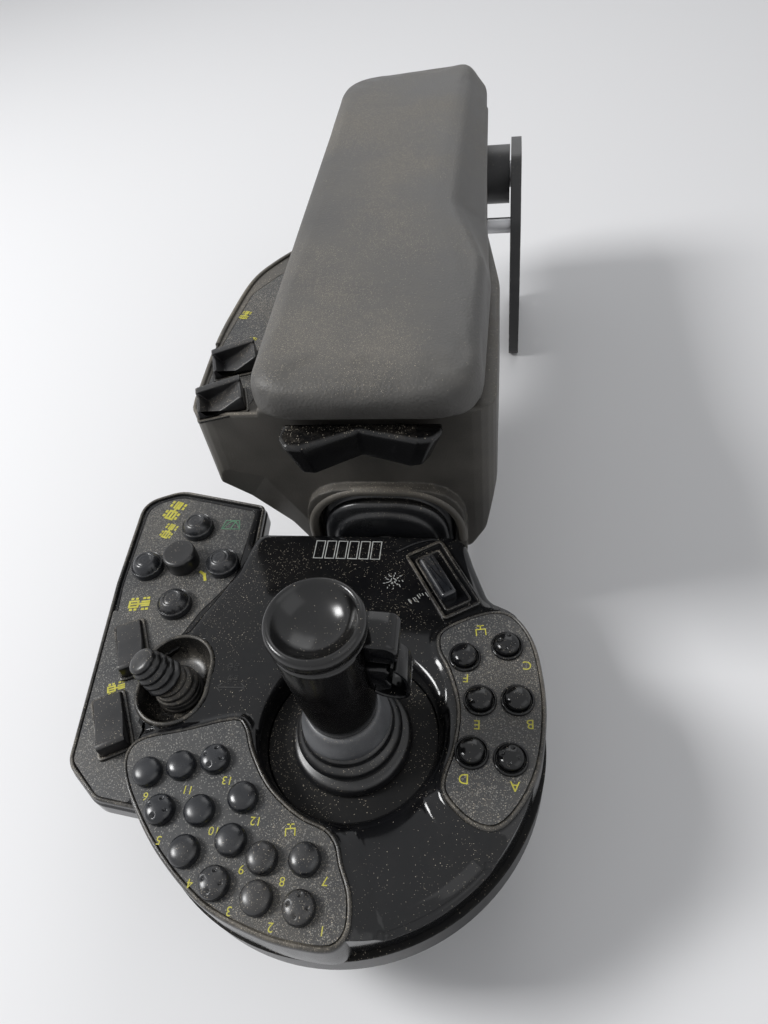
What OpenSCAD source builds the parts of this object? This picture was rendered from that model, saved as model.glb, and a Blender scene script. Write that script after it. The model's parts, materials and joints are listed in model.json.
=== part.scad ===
// Armrest control console of a forestry harvester cab: padded armrest, folding arm,
// round control pod with a joystick, and the bracket that bolts it to the seat.
// Millimetres. Origin: centre of the seat bolt pattern, +X to the seat, -Y forward, +Z up.

/* [Place] */
// joystick axis in front of the seat bolts
reach = 440; // [400:5:480]
// joystick axis outboard of the seat bolts
outboard = 80; // [78:1:90]
// keypad plane above the seat bolts
key_height = 60; // [50:1:70]

/* [Pod] */
// radius of the round pod
pod_r = 97; // [96:0.5:100]
// height of the pod under its keypad plane
pod_depth = 62; // [60:1:70]
// drop from the keypads to the round top
top_drop = 7; // [6:0.5:9]
// drop from the keypads to the rear deck
deck_drop = 3; // [2:0.5:4]
// wall of the pod mouldings
pod_wall = 3.5; // [2.5:0.5:4.5]
// height of the seam under the keypad plane
seam_drop = 24; // [22:1:28]
// radius of the well round the joystick
well_r = 42; // [40:0.5:44]
// depth of the well
well_depth = 17; // [14:1:20]

/* [Keys] */
// diameter of a push key
key_d = 12; // [10:0.5:13]
// height of a push key
key_h = 3.6; // [2.5:0.2:5]
// diameter of the ring round a right-hand key
ring_d = 15.5; // [14:0.5:17]
// thickness of a textured fascia
fascia_t = 1; // [0.6:0.1:1.5]
// width of the glossy rim round a fascia
rim_w = 2.5; // [2:0.25:4]

/* [Joystick] */
// diameter of the grip at its top
grip_d = 40; // [36:0.5:43]
// diameter of the grip at its foot
grip_foot_d = 32; // [30:0.5:34]
// top of the grip over the keypad plane
grip_top = 88; // [78:1:95]
// foot of the grip over the keypad plane
grip_foot = 17; // [15:0.5:20]
// diameter of the grey collar at its foot
collar_d = 41; // [38:0.5:44]
// diameter of the stick boot
boot_d = 50; // [46:0.5:54]
// diameter of the joystick shaft
shaft_d = 10; // [8:0.5:12]
// depth of the joystick pivot under the keypad plane
pivot_drop = 32; // [30:0.5:34]
// diameter of the gimbal pins
gimbal_pin_d = 5; // [4:0.5:6]

/* [Mini joystick] */
// diameter of the ribbed knob at its foot
mini_d = 20; // [18:0.5:22]
// length of the ribbed knob
mini_h = 27; // [22:1:32]
// lean of the knob away from the pod
mini_lean = 22; // [14:1:26]
// radius of the scoop round it
mini_scoop_r = 16.5; // [16:0.5:17]

/* [Wing] */
// drop from the keypads to the wing
wing_drop = 8; // [7:0.5:10]
// thickness of the wing
wing_t = 16; // [14:1:20]
// diameter of a wing button at its foot
button_d = 19; // [16:0.5:20]
// diameter of the middle knob
knob_d = 19; // [17:0.5:20]

/* [Pad] */
// width of the pad at its front
pad_w = 112; // [106:1:116]
// length of the pad
pad_l = 390; // [380:5:400]
// thickness of the pad
pad_t = 23; // [20:1:26]
// thickness of the plate under the pad
plate_t = 4; // [3:0.5:6]

/* [Housing] */
// top of the housing over the keypad plane
house_top = 78; // [76:1:82]
// front wall of the housing behind the joystick axis
house_front = 127; // [126:0.5:130]
// underside of the housing under the keypad plane
house_drop = 30; // [28:1:32]
// wall of the housing
house_wall = 5; // [4:0.5:6]
// top of the side panel over the keypad plane
panel_top = 74; // [72:0.5:76]
// half the inside width of the hood over the neck
hood_r = 40.5; // [40:0.5:43]
// inside top of the hood over the keypad plane
hood_top = 21; // [20:1:24]
// wall of the hood's lip
hood_lip = 4.5; // [3:0.5:6]

/* [Lever] */
// width of the release lever
lever_w = 81; // [70:1:84]
// height of the release lever
lever_h = 18; // [15:1:22]
// thickness of the release lever's wings
lever_t = 9; // [7:0.5:11]
// diameter of a lever rod
rod_d = 8; // [6:0.5:9]

/* [Arm and bracket] */
// width of the arm tube
tube_w = 44; // [40:1:46]
// height of the arm tube
tube_h = 36; // [32:1:38]
// wall of the arm tube
tube_wall = 4; // [3:0.5:5]
// diameter of the fold pin
fold_pin_d = 20; // [16:1:22]
// diameter of the fold hub
hub_d = 44; // [40:1:46]
// diameter of the neck pin
neck_pin_d = 12; // [10:0.5:14]
// diameter of the neck barrel
barrel_d = 28; // [26:1:30]
// thickness of the bracket plate
bracket_t = 8; // [6:0.5:9]
// seat bolt spacing front to rear
bolt_y = 60; // [50:5:70]
// seat bolt spacing up and down
bolt_z = 50; // [40:5:60]
// diameter of a seat bolt hole
bolt_d = 9; // [8:0.5:11]
// diameter of the stop pin
stop_d = 12; // [10:0.5:14]
// bore of the cable gland
loom_d = 9; // [7:0.5:11]

/* [Clearances] */
// gap round a turning pin
pin_gap = 0.3; // [0.3:0.05:0.4]
// gap between fixed mouldings
seam_gap = 0.3; // [0.2:0.05:0.4]

/* [Hidden] */
$fn = 48;
eps = 0.02;

// sizes at which the outlines below are drawn
drawn_pod_r = 97;
drawn_pad_w = 112;
drawn_l = 390;
pod_k = pod_r / drawn_pod_r;
// pod centre, measured from the joystick axis
pod_x = -6 * pod_k;
pod_y = 4 * pod_k;
// neck and tube centre line, tilt pin and fold pin
neck_x = 4;
tilt_y = house_front + 19;
tilt_z = -19;
fold_y = reach + 25;
fold_z = 30;
// length of the housing, and rear edge of the deck in front of it
house_l = fold_y + 52 - house_front;
deck_back = house_front - 13;
tube_z = 32;
tube_top = tube_z + tube_h / 2;
tube_low = tube_z - tube_h / 2;
bracket_x = outboard - bracket_t;
pivot_z = -pivot_drop;
pad_low = house_top + plate_t + 2 * seam_gap;
pad_top = pad_low + pad_t;
lever_top = house_top - 4;
lever_front = house_front - 23;
lever_x = 0;
rod_out = 20;
stop_y = reach - 15;
stop_z = tube_low - stop_d / 2 - 0.4;
mini_x = -92 * pod_k;
mini_y = 18 * pod_k;
mini_z = -15;
// scoop centre beside the mini joystick, and turn of its long way
mini_off = 2.5;
mini_turn = -13;

// outlines seen from above, counter-clockwise, from the joystick axis
DECK = [[50, 5, 4], [72, 40, 12], [78, 60, 6], [62, 74, 10], [54, 95, 20], [48, 114, 12],
  [-70, 114, 9], [-76, 88, 30], [-92, 52, 30], [-101, 30, 4], [-60, -6, 4], [-10, -10, 4]];
LEFT_ISLAND = [[7, -92.5], [13, -85], [12, -72], [7, -61], [4, -53], [-2, -47], [-15, -42],
  [-30, -31], [-41, -16], [-47, -4], [-55, 0], [-78, -7], [-96, -12], [-102.5, -19],
  [-101, -30], [-90.5, -45.5], [-72.5, -64.5], [-49, -81.5], [-25, -90], [-7, -93]];
RIGHT_ISLAND = [[58, -42], [69, -43], [79, -33], [87, -15], [90, 8], [89, 28], [85, 47],
  [77, 60], [67, 64], [53, 60], [39, 51], [38, 40], [44, 28], [49, 10], [48, -8],
  [44, -24], [47, -33]];
WING = [[-66, 60, 4], [-71, 138, 6], [-128, 150, 22], [-151, 140, 16], [-147, 78, 40],
  [-134, -26, 14], [-114, -42, 14], [-80, -46, 8], [-60, 0, 6]];
WING_PANEL = [[-78, 84, 3], [-77, 133, 4], [-128, 144, 18], [-145, 136, 12], [-142, 78, 40],
  [-127, -12, 14], [-113, -30, 8], [-106, -23, 3], [-105, 30, 12], [-92, 62, 8]];
PAD = [[-53, 0, 22], [59, 0, 24], [60, 108, 40], [43, 168, 40], [45, 392, 18],
  [-58, 374, 36]];
PAD_FOOT = [[-53, 0, 22], [60, 0, 24], [62, 108, 40], [59, 168, 40], [54, 394, 22],
  [-58, 376, 36]];
HOUSE_TOP = [[-91, 0, 12], [66, 0, 12], [66, 104, 40], [57, 165, 40], [52, 380, 14],
  [-50, 380, 14], [-50, 180, 20], [-86, 130, 40], [-93, 60, 30]];

// name: x, y of every key, from the joystick axis
MAIN_KEYS = [[-88, -30], [-73, -26], [-58, -22], [-77, -46], [-59, -45], [-41, -38],
  [-61, -62], [-42, -56], [-27, -62], [-9, -61], [-45, -73], [-26, -77], [-8, -79]];
RIGHT_KEYS = [[52, 36], [72, 43], [60, 14], [77, 15], [57, -11], [74, -13]];
WING_BUTTONS = [[-109, 119], [-131, 90], [-87, 93], [-107, 65]];
KNOB = [-111, 94];
// x, y, turn, length, width of the wing rockers
WING_ROCKERS = [[-122, 37, 116, 32, 14], [-118, -5, 118, 31, 15]];
// x, y, turn of the side rockers
SIDE_ROCKERS = [[-74, 147, 8], [-78, 178, 8]];
TOP_ROCKER = [34, 87, -60];

function wrap(p, i) = p[(i + len(p)) % len(p)];
function unit(v) = v / norm(v);
function flat(p) = [p[0], p[1]];
function spline(a, b, c, d, t) = 0.5 * (2 * b + (c - a) * t
  + (2 * a - 5 * b + 4 * c - d) * t * t + (3 * b - a - 3 * c + d) * t * t * t);
function smooth(p, n = 3) = [for (i = [0:len(p) - 1]) for (j = [0:n - 1])
  spline(wrap(p, i - 1), p[i], wrap(p, i + 1), wrap(p, i + 2), j / n)];
function corner(a, b, c, r, n) = let(u = unit(a - b), v = unit(c - b),
  t = min(r / tan(acos(u * v) / 2), norm(a - b) / 2 - eps, norm(c - b) / 2 - eps))
  [for (i = [0:n]) let(s = i / n)
    (1 - s) * (1 - s) * (b + u * t) + 2 * s * (1 - s) * b + s * s * (b + v * t)];
function rounded(p, n = 5) = [for (i = [0:len(p) - 1])
  each corner(flat(wrap(p, i - 1)), flat(p[i]), flat(wrap(p, i + 1)), p[i][2], n)];
function inset(p, d) = [for (i = [0:len(p) - 1])
  let(t = unit(wrap(p, i + 1) - wrap(p, i - 1))) p[i] + d * [-t[1], t[0]]];
function ring(p, d, z) = [for (q = inset(p, d)) [q[0], q[1], z]];
// long round outline of the mini joystick's scoop, grown by d
function scoop(d) = [for (i = [0:27]) let(a = i * 360 / 28 + mini_turn)
  [mini_x + mini_off, mini_y] + (mini_scoop_r + d) * [cos(a), sin(a)]
  + (i < 14 ? 5 : -5) * [cos(mini_turn + 84), sin(mini_turn + 84)]];
function scaled(p, a, b) = [for (q = p) [q[0] * a, q[1] * b, q[2]]];
// table of places on the pod, spread to its radius
function on_pod(p) = [for (q = p) [for (i = [0:len(q) - 1]) i < 2 ? q[i] * pod_k : q[i]]];

deck = rounded([for (q = DECK) [q[0] * pod_k, q[1] > 100 ? deck_back : q[1] * pod_k, q[2]]]);
left_island = smooth(on_pod(LEFT_ISLAND));
right_island = smooth(on_pod(RIGHT_ISLAND));

// closed skin over rings of points, lowest ring first
module skin(rings) {
  n = len(rings[0]);
  k = len(rings);
  sides = [for (i = [0:k - 2]) for (j = [0:n - 1])
    let(a = i * n + j, b = i * n + (j + 1) % n)
    each [[a, a + n, b + n], [a, b + n, b]]];
  low = [for (j = [0:n - 1]) j];
  high = [for (j = [n - 1:-1:0]) (k - 1) * n + j];
  polyhedron([for (r = rings) each r], concat([low], sides, [high]));
}

// plate with rolled top and bottom edges
module slab(p, low, high, r) {
  skin([ring(p, r, low), ring(p, 0.3 * r, low + 0.3 * r), ring(p, 0, low + r),
    ring(p, 0, high - r), ring(p, 0.3 * r, high - 0.3 * r), ring(p, r, high)]);
}

module from_stick() {
  translate([-outboard, -reach, key_height])
    children();
}

// round thing along X, from x0 to x1 at y, z
module along_x(x0, x1, y, z, d) {
  translate([x0, y, z])
    rotate([0, 90, 0])
      cylinder(h = x1 - x0, d = d);
}

module along_y(y0, y1, x, z, d) {
  translate([x, y0, z])
    rotate([-90, 0, 0])
      cylinder(h = y1 - y0, d = d);
}

// shape drawn in Y and Z, from x0 to x1
module side_plate(x0, x1, p) {
  translate([x0, 0, 0])
    rotate([90, 0, 90])
      linear_extrude(x1 - x0)
        polygon(p);
}

// shape drawn in X and Z, from y0 to y1
module front_plate(y0, y1, p) {
  translate([0, y1, 0])
    rotate([90, 0, 0])
      linear_extrude(y1 - y0)
        polygon(p);
}

module block(x0, x1, y0, y1, z0, z1) {
  translate([x0, y0, z0])
    cube([x1 - x0, y1 - y0, z1 - z0]);
}

module seat_bracket() {
  color("dimgray")
    from_stick()
      difference() {
        side_plate(bracket_x, outboard, rounded([[reach - 46, -key_height - 40, 10],
          [reach + 46, -key_height - 40, 10], [reach + 46, -key_height + 34, 20],
          [fold_y + 27, fold_z - 4, 12], [fold_y + 22, fold_z + 24, 16],
          [fold_y - 22, fold_z + 24, 16], [stop_y - 16, stop_z + 10, 16],
          [reach - 46, -key_height + 30, 20]]));
        for (y = [-1, 1])
          for (z = [-1, 1])
            along_x(bracket_x - 1, outboard + 1, reach + y * bolt_y / 2,
              -key_height + z * bolt_z / 2, bolt_d);
        along_x(bracket_x - 1, outboard + 1, fold_y, fold_z, fold_pin_d);
        along_x(bracket_x - 1, outboard + 1, stop_y, stop_z, stop_d);
      }
}

module fold_pin() {
  color("silver")
    from_stick() {
      along_x(-30, outboard - 2, fold_y, fold_z, fold_pin_d - eps);
      along_x(-34, -30 + eps, fold_y, fold_z, fold_pin_d + 8);
    }
}

module stop_pin() {
  color("silver")
    from_stick() {
      along_x(neck_x, outboard - 2, stop_y, stop_z, stop_d - eps);
    }
}

module arm_frame() {
  color("dimgray")
    from_stick()
      difference() {
        union() {
          block(neck_x - tube_w / 2, neck_x + tube_w / 2, tilt_y + 19, fold_y, tube_low,
            tube_top);
          along_x(-28, bracket_x - 1, fold_y, fold_z, hub_d);
          for (s = [-1, 1])
            side_plate(neck_x + s * (tube_w / 2 + 2.5) - 2.5,
              neck_x + s * (tube_w / 2 + 2.5) + 2.5,
              rounded([[tilt_y - 16, -34, 8], [tilt_y + 18, -36, 12],
                [tilt_y + 69, tube_low + 4, 12], [tilt_y + 69, tube_top, 6],
                [tilt_y + 19, tube_top, 10],
                [tilt_y - 16, -2, 12]]));
        }
        block(neck_x - tube_w / 2 + tube_wall, neck_x + tube_w / 2 - tube_wall, tilt_y + 14,
          fold_y - hub_d / 2 - 8, tube_low + tube_wall, tube_top - tube_wall);
        along_x(-40, outboard, fold_y, fold_z, fold_pin_d + 2 * pin_gap);
        along_x(neck_x - 40, neck_x + 40, tilt_y, tilt_z, neck_pin_d);
      }
}

// facets behind the bent crease at the lower left of the front
module front_facets() {
  y = house_front;
  polyhedron([[-104, y - 1, 43], [-61, y - 1, 29], [-31, y - 1, -31], [-104, y - 1, -36],
    [-104, y, 43], [-61, y, 29], [-31, y, -31], [-104, y + 16, -36]],
    [[0, 1, 2, 3], [0, 4, 5, 1], [1, 5, 6, 2], [2, 6, 7, 3], [3, 7, 4, 0], [5, 4, 7],
      [6, 5, 7]]);
}

module house_form() {
  intersection() {
    translate([0, house_front, -house_drop])
      linear_extrude(house_top + house_drop)
        polygon(rounded(scaled(HOUSE_TOP, 1, house_l / drawn_l)));
    front_plate(house_front, house_front + house_l, rounded([[-93, 26, 10], [-54, -12, 12],
      [-45, -house_drop, 5], [50, -house_drop, 8], [60, -12, 12], [66, 22, 14],
      [66, house_top, 2], [-54, house_top, 1], [-54, panel_top, 1], [-93, panel_top, 3]]));
    side_plate(-100, 100, rounded([[house_front, -house_drop, 3],
      [house_front + 88, -house_drop, 20], [house_front + 193, 20, 30],
      [house_front + house_l, 20, 2], [house_front + house_l, house_top, 2],
      [house_front, house_top, 3]]));
  }
}

module housing() {
  color("#2b2a28")
    from_stick()
      difference() {
        union() {
          difference() {
            house_form();
            front_facets();
          }
          front_plate(house_front - 6, house_front + house_wall, arch(hood_lip, -house_drop));
        }
        // the bellows stand on the wall that is left in the hood
        front_plate(house_front - 10, house_front + 2.5 + seam_gap, arch(0, -60));
        along_y(house_front, house_front + 30, neck_x, tilt_z, 2 * (hood_r - 9));
        block(neck_x - hood_r, neck_x + hood_r, house_front + 20, tilt_y + 54, -60, tilt_z);
        block(neck_x - tube_w / 2 - 14, neck_x + tube_w / 2 + 14, house_front + house_wall,
          tilt_y + 76, -60, tube_top + 2);
        block(neck_x - tube_w / 2 - 1, neck_x + tube_w / 2 + 1, tilt_y + 54,
          house_front + house_l - 12, -60, tube_top + 1);
        along_x(-36, outboard, fold_y, fold_z, hub_d + 2);
        block(-36, outboard, fold_y - hub_d / 2 - 1, fold_y + hub_d / 2 + 1, 0, fold_z);
        translate([0, 0, panel_top - fascia_t])
          linear_extrude(fascia_t + 1)
            polygon(panel_shape(-seam_gap));
        for (s = [-1, 1])
          along_y(house_front - 5, house_front + 40, lever_x + s * rod_out, lever_top - 10,
            rod_d + 2 * pin_gap);
      }
}

// arch of the hood in X and Z, grown by d, down to z
function arch(d, z) = rounded([[neck_x - hood_r - d, z, 1], [neck_x + hood_r + d, z, 1],
  [neck_x + hood_r + d, hood_top + d, 30 + d], [neck_x - hood_r - d, hood_top + d, 30 + d]]);

function panel_shape(d) = inset(rounded([[-60, house_front + 8, 5],
  [-57, house_front + 60, 3], [-57, house_front + 128, 3], [-66, house_front + 134, 8],
  [-82, house_front + 110, 16], [-88, house_front + 60, 30], [-87, house_front + 6, 8]]), d);

module neck_pin() {
  color("silver")
    from_stick()
      along_x(neck_x - tube_w / 2 - 7, neck_x + tube_w / 2 + 7, tilt_y, tilt_z,
        neck_pin_d - eps);
}

function pad_shape(p) = [for (q = rounded(scaled(p, pad_w / drawn_pad_w, pad_l / drawn_l)))
  q + [0, house_front - 16]];
function mixed(a, b, t) = [for (i = [0:len(a) - 1]) a[i] * (1 - t) + b[i] * t];

module pad_plate() {
  color("#22211f")
    from_stick()
      translate([0, 0, house_top + seam_gap])
        linear_extrude(plate_t)
          polygon(inset(pad_shape(PAD_FOOT), 11));
}

module arm_pad() {
  color("#4a443d")
    from_stick() {
      p = pad_shape(PAD);
      q = pad_shape(PAD_FOOT);
      skin([ring(q, 5, pad_low), ring(q, 1.5, pad_low + 2), ring(q, 0, pad_low + 5),
        ring(mixed(q, p, 0.3), 0, pad_low + 9), ring(mixed(q, p, 0.75), 0, pad_top - 8.5),
        ring(p, 0.6, pad_top - 5), ring(p, 2.6, pad_top - 2), ring(p, 5.4, pad_top - 0.5),
        ring(p, 8.5, pad_top)]);
    }
}

module side_fascia() {
  color("#33322f")
    from_stick()
      translate([0, 0, panel_top - fascia_t + eps])
        linear_extrude(fascia_t)
          polygon(panel_shape(0));
}

module side_rockers() {
  color("#151515")
    from_stick()
      for (r = SIDE_ROCKERS)
        translate([r[0], r[1], panel_top + 0.1])
          rotate([0, 0, r[2]])
            front_plate(-9, 9, [[-12, 0], [12, 0], [12, 6], [10, 6.5], [0, 1.5],
              [-10, 6.5], [-12, 6]]);
}

module cable_gland() {
  color("#1b1b1b")
    from_stick()
      translate([-39, fold_y - 65, 0])
        difference() {
          union() {
            translate([0, 0, 8])
              cylinder(h = 12 - seam_gap, d = 20);
            cylinder(h = 8 + eps, d = 16);
          }
          translate([0, 0, -1])
            cylinder(h = 22, d = loom_d);
        }
}

module release_lever() {
  color("#0c0c0c")
    from_stick() {
      w = lever_w / 2;
      low = lever_top - lever_h;
      intersection() {
        translate([lever_x, lever_front, low])
          linear_extrude(lever_h)
            polygon(rounded([[-w, lever_t + 9, 2], [-w - 1, lever_t - 1, 5],
              [-w + 4, 0.5, 4], [-w + 12, 0, 5], [-1, lever_t + 4, 5], [w - 11, 5, 5],
              [w - 4, 6, 4], [w + 1, lever_t + 3, 5], [w, lever_t + 9, 2]]));
        front_plate(lever_front - 2, lever_front + lever_t + 12,
          rounded([[lever_x - w + 7, low, 4], [lever_x + w - 7, low, 4],
            [lever_x + w + 1, lever_top, 2], [lever_x - w - 1, lever_top, 2]]));
      }
      for (s = [-1, 1])
        along_y(lever_front + lever_t, house_front + 32, lever_x + s * rod_out,
          lever_top - 10, rod_d);
    }
}

// round top and rear deck, with the cup of the mini joystick
module shell_form() {
  r = pod_r - 3;
  translate([pod_x, pod_y, 0])
    rotate_extrude($fn = 96)
      polygon([[0, -top_drop], [r - 12, -top_drop], [r - 7, -top_drop - 1.2],
        [r - 3, -top_drop - 4], [r - 0.8, -top_drop - 8], [r, -top_drop - 13],
        [r, -seam_drop], [0, -seam_drop]]);
  skin([ring(deck, 0, -seam_drop), ring(deck, 0, -deck_drop - 1.5),
    ring(deck, 0.4, -deck_drop - 0.5), ring(deck, 1.3, -deck_drop)]);
  translate([0, 0, -seam_drop])
    linear_extrude(seam_drop - 5)
      polygon(scoop(2));
}

// hollow round the joystick, open below, where the gimbal base is its floor
module well() {
  rotate_extrude($fn = 96)
    polygon([[0, 5], [0, -seam_drop - 1], [well_r - 1, -seam_drop - 1],
      [well_r - 0.6, -seam_drop + 10], [well_r, -6],
      [well_r + 0.8, -4.6], [well_r + 2.4, -3.5], [well_r + 4, -deck_drop + 0.1],
      [well_r + 4, 5]]);
}

// hollow under the round top, clear of the well and the cup
module under_hollow() {
  difference() {
    translate([pod_x, pod_y, 0])
      rotate_extrude($fn = 96)
        polygon([[0, -seam_drop - 1], [pod_r - 8, -seam_drop - 1],
          [pod_r - 8, -top_drop - 11], [pod_r - 12, -top_drop - pod_wall - 2],
          [pod_r - 20, -top_drop - pod_wall], [0, -top_drop - pod_wall]]);
    translate([0, 0, -seam_drop - 2])
      cylinder(h = seam_drop + 4, r = well_r + pod_wall);
    translate([0, 0, -seam_drop - 2])
      linear_extrude(seam_drop + 4)
        polygon(scoop(2 + pod_wall));
  }
}

module pod_upper() {
  color("#0b0b0c")
    from_stick()
      difference() {
        union() {
          difference() {
            shell_form();
            well();
            mini_cup();
          }
          for (p = [left_island, right_island])
            island(p);
        }
        under_hollow();
        for (p = [left_island, right_island])
          translate([0, 0, -fascia_t])
            linear_extrude(fascia_t + 1)
              polygon(inset(p, rim_w - seam_gap));
        translate([TOP_ROCKER[0] * pod_k, TOP_ROCKER[1] * pod_k, -deck_drop - 3.4])
          rotate([0, 0, TOP_ROCKER[2]])
            linear_extrude(10)
              polygon(rounded([[-23, -10, 3], [23, -10, 3], [23, 10, 3], [-23, 10, 3]], 3));
      }
}

// raised key island with a stepped edge
module island(p) {
  translate([0, 0, -seam_drop + 1])
    linear_extrude(seam_drop - 1.6)
      polygon(p);
  translate([0, 0, -0.7])
    linear_extrude(0.7)
      polygon(inset(p, 0.6));
}

module mini_cup() {
  skin([ring(scoop(-3.5), 0, mini_z), ring(scoop(-1.5), 0, mini_z + 2),
    ring(scoop(-0.3), 0, mini_z + 7), ring(scoop(0.6), 0, -5.5), ring(scoop(1), 0, 1)]);
}

module pod_lower() {
  color("#101010")
    from_stick()
      difference() {
        union() {
          translate([pod_x, pod_y, 0])
            rotate_extrude($fn = 96)
              polygon([[0, -seam_drop - seam_gap], [pod_r - 0.3, -seam_drop - seam_gap],
                [pod_r - 0.6, -42], [pod_r - 4, -51], [pod_r - 13, -pod_depth + 4],
                [pod_r - 30, -pod_depth], [0, -pod_depth]]);
          side_plate(-62 * pod_k, 46 * pod_k, rounded([[deck_back - 74, -pod_depth + 2, 2],
            [deck_back - 22, -pod_depth + 4, 12], [deck_back - 2, -46, 10],
            [deck_back - 0.5, -seam_drop - seam_gap, 1],
            [deck_back - 74, -seam_drop - seam_gap, 1]]));
        }
        translate([pod_x, pod_y, 0])
          rotate_extrude($fn = 96)
            polygon([[0, -seam_drop + 1], [pod_r - 1 - pod_wall, -seam_drop + 1],
              [pod_r - 1 - pod_wall, -42], [pod_r - 5 - pod_wall, -50],
              [pod_r - 14 - pod_wall, -pod_depth + 4.5 + pod_wall],
              [pod_r - 30, -pod_depth + pod_wall], [0, -pod_depth + pod_wall]]);
      }
}

module neck_tube() {
  color("#1a1a1a")
    from_stick()
      difference() {
        union() {
          along_y(deck_back + 0.3, tilt_y, neck_x, tilt_z, barrel_d - 4);
          along_x(neck_x - tube_w / 2 + 2, neck_x + tube_w / 2 - 2, tilt_y, tilt_z, barrel_d);
        }
        along_x(neck_x - 40, neck_x + 40, tilt_y, tilt_z, neck_pin_d + 2 * pin_gap);
      }
}

module neck_bellows() {
  color("#141414")
    from_stick() {
      r = hood_r - 3.5;
      translate([neck_x, deck_back + 0.5, tilt_z])
        rotate([-90, 0, 0])
          rotate_extrude($fn = 64)
            polygon([[r - 23, 0], [r - 20, 0], [r - 14, 1.5], [r - 15.5, 3.5], [r - 9, 5],
              [r - 10.5, 7], [r - 4, 8.5], [r - 6, 10.5], [r, 12], [r - 2, 14], [r, 15],
              [r - 7, 15], [r - 17, 6], [r - 23, 3]]);
    }
}

module left_wing() {
  color("#0e0e0f")
    from_stick()
      difference() {
        slab(rounded(on_pod(WING)), -wing_drop - wing_t, -wing_drop, 4);
        translate([pod_x, pod_y, -60])
          cylinder(h = 80, r = pod_r + seam_gap);
        translate([0, 0, -60])
          linear_extrude(80)
            polygon(inset(deck, -seam_gap));
        translate([0, 0, -wing_drop - fascia_t])
          linear_extrude(10)
            polygon(wing_panel(-seam_gap));
        translate([0, 0, -60])
          linear_extrude(80)
            polygon(scoop(2 + seam_gap));
        translate([0, 0, -60])
          linear_extrude(80)
            polygon(inset(left_island, -seam_gap));
      }
}

function wing_panel(d) = inset(rounded(on_pod(WING_PANEL)), d);

module wing_fascia() {
  color("#2f2e2c")
    from_stick()
      difference() {
        translate([0, 0, -wing_drop - fascia_t + eps])
          linear_extrude(fascia_t)
            polygon(wing_panel(0));
        translate([0, 0, -60])
          linear_extrude(80)
            polygon(scoop(2 + 2 * seam_gap));
      }
}

module left_fascia() {
  color("#2f2e2c")
    from_stick()
      translate([0, 0, -fascia_t + eps])
        linear_extrude(fascia_t)
          polygon(inset(left_island, rim_w));
}

module right_fascia() {
  color("#2f2e2c")
    from_stick()
      translate([0, 0, -fascia_t + eps])
        linear_extrude(fascia_t)
          polygon(inset(right_island, rim_w));
}

module key_cap(d, h) {
  rotate_extrude()
    polygon([[0, 0], [d / 2, 0], [d / 2, 0.4 * h], [0.46 * d, 0.65 * h], [0.36 * d, 0.86 * h],
      [0.2 * d, 0.97 * h], [0, h]]);
}

module main_keys() {
  color("#161616")
    from_stick()
      for (k = on_pod(MAIN_KEYS))
        translate([k[0], k[1], 2 * eps])
          key_cap(key_d, key_h);
}

module right_keys() {
  color("#161616")
    from_stick()
      for (k = on_pod(RIGHT_KEYS))
        translate([k[0], k[1], 2 * eps]) {
          difference() {
            cylinder(h = 1.6, d = ring_d);
            translate([0, 0, 0.8])
              cylinder(h = 2, d = key_d + 1);
          }
          translate([0, 0, 0.8 - eps])
            key_cap(key_d, key_h);
        }
}

module wing_buttons() {
  color("#161616")
    from_stick()
      for (k = on_pod(WING_BUTTONS))
        translate([k[0], k[1], -wing_drop + 2 * eps])
          rotate_extrude()
            polygon([[0, 0], [button_d / 2, 0], [button_d / 2, 3], [button_d / 2 - 1.5, 4.5],
              [0.33 * button_d, 4.5], [0.33 * button_d, 6.5], [0.26 * button_d, 7.6],
              [0, 8]]);
}

module wing_knob() {
  color("#1c1c1c")
    from_stick()
      translate([KNOB[0] * pod_k, KNOB[1] * pod_k, -wing_drop + 2 * eps])
        rotate_extrude()
          polygon([[0, 0], [knob_d / 2, 0], [knob_d / 2, 5], [knob_d / 2 - 1.5, 7],
            [knob_d / 2 - 4, 8], [0, 8.6]]);
}

module wing_rockers() {
  color("#111111")
    from_stick()
      for (r = on_pod(WING_ROCKERS))
        translate([r[0], r[1], -wing_drop + 2 * eps])
          rotate([0, 0, r[2]])
            front_plate(-r[4] / 2, r[4] / 2, [[-r[3] / 2, 0], [r[3] / 2, 0], [r[3] / 2, 3],
              [1, 5], [-r[3] / 2 + 2, 10], [-r[3] / 2, 9]]);
}

module top_rocker() {
  color("#121212")
    from_stick()
      translate([TOP_ROCKER[0] * pod_k, TOP_ROCKER[1] * pod_k, -deck_drop - 3.4 + eps])
        rotate([0, 0, TOP_ROCKER[2]])
          difference() {
            union() {
              block(-17, 17, -8.5, 8.5, 0, 3);
              front_plate(-6, 6, [[-14, 3 - eps], [14, 3 - eps], [14, 6.5], [12, 7], [0, 4.5],
                [-12, 8], [-14, 7.4]]);
            }
          }
}

module gimbal_base() {
  color("#1a1a1a")
    from_stick()
      difference() {
        union() {
          difference() {
            translate([0, 0, -well_depth - pod_wall])
              cylinder(h = pod_wall, r = well_r - 1 - seam_gap);
            translate([0, 0, -well_depth - pod_wall - 1])
              cylinder(h = pod_wall + 2, r = 21);
          }
          for (s = [-1, 1])
            block(min(s * 22, s * 27), max(s * 22, s * 27), -7, 7, pivot_z - 7,
              -well_depth - pod_wall / 2);
        }
        along_x(-40, 40, 0, pivot_z, gimbal_pin_d + 2 * pin_gap);
      }
}

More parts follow.
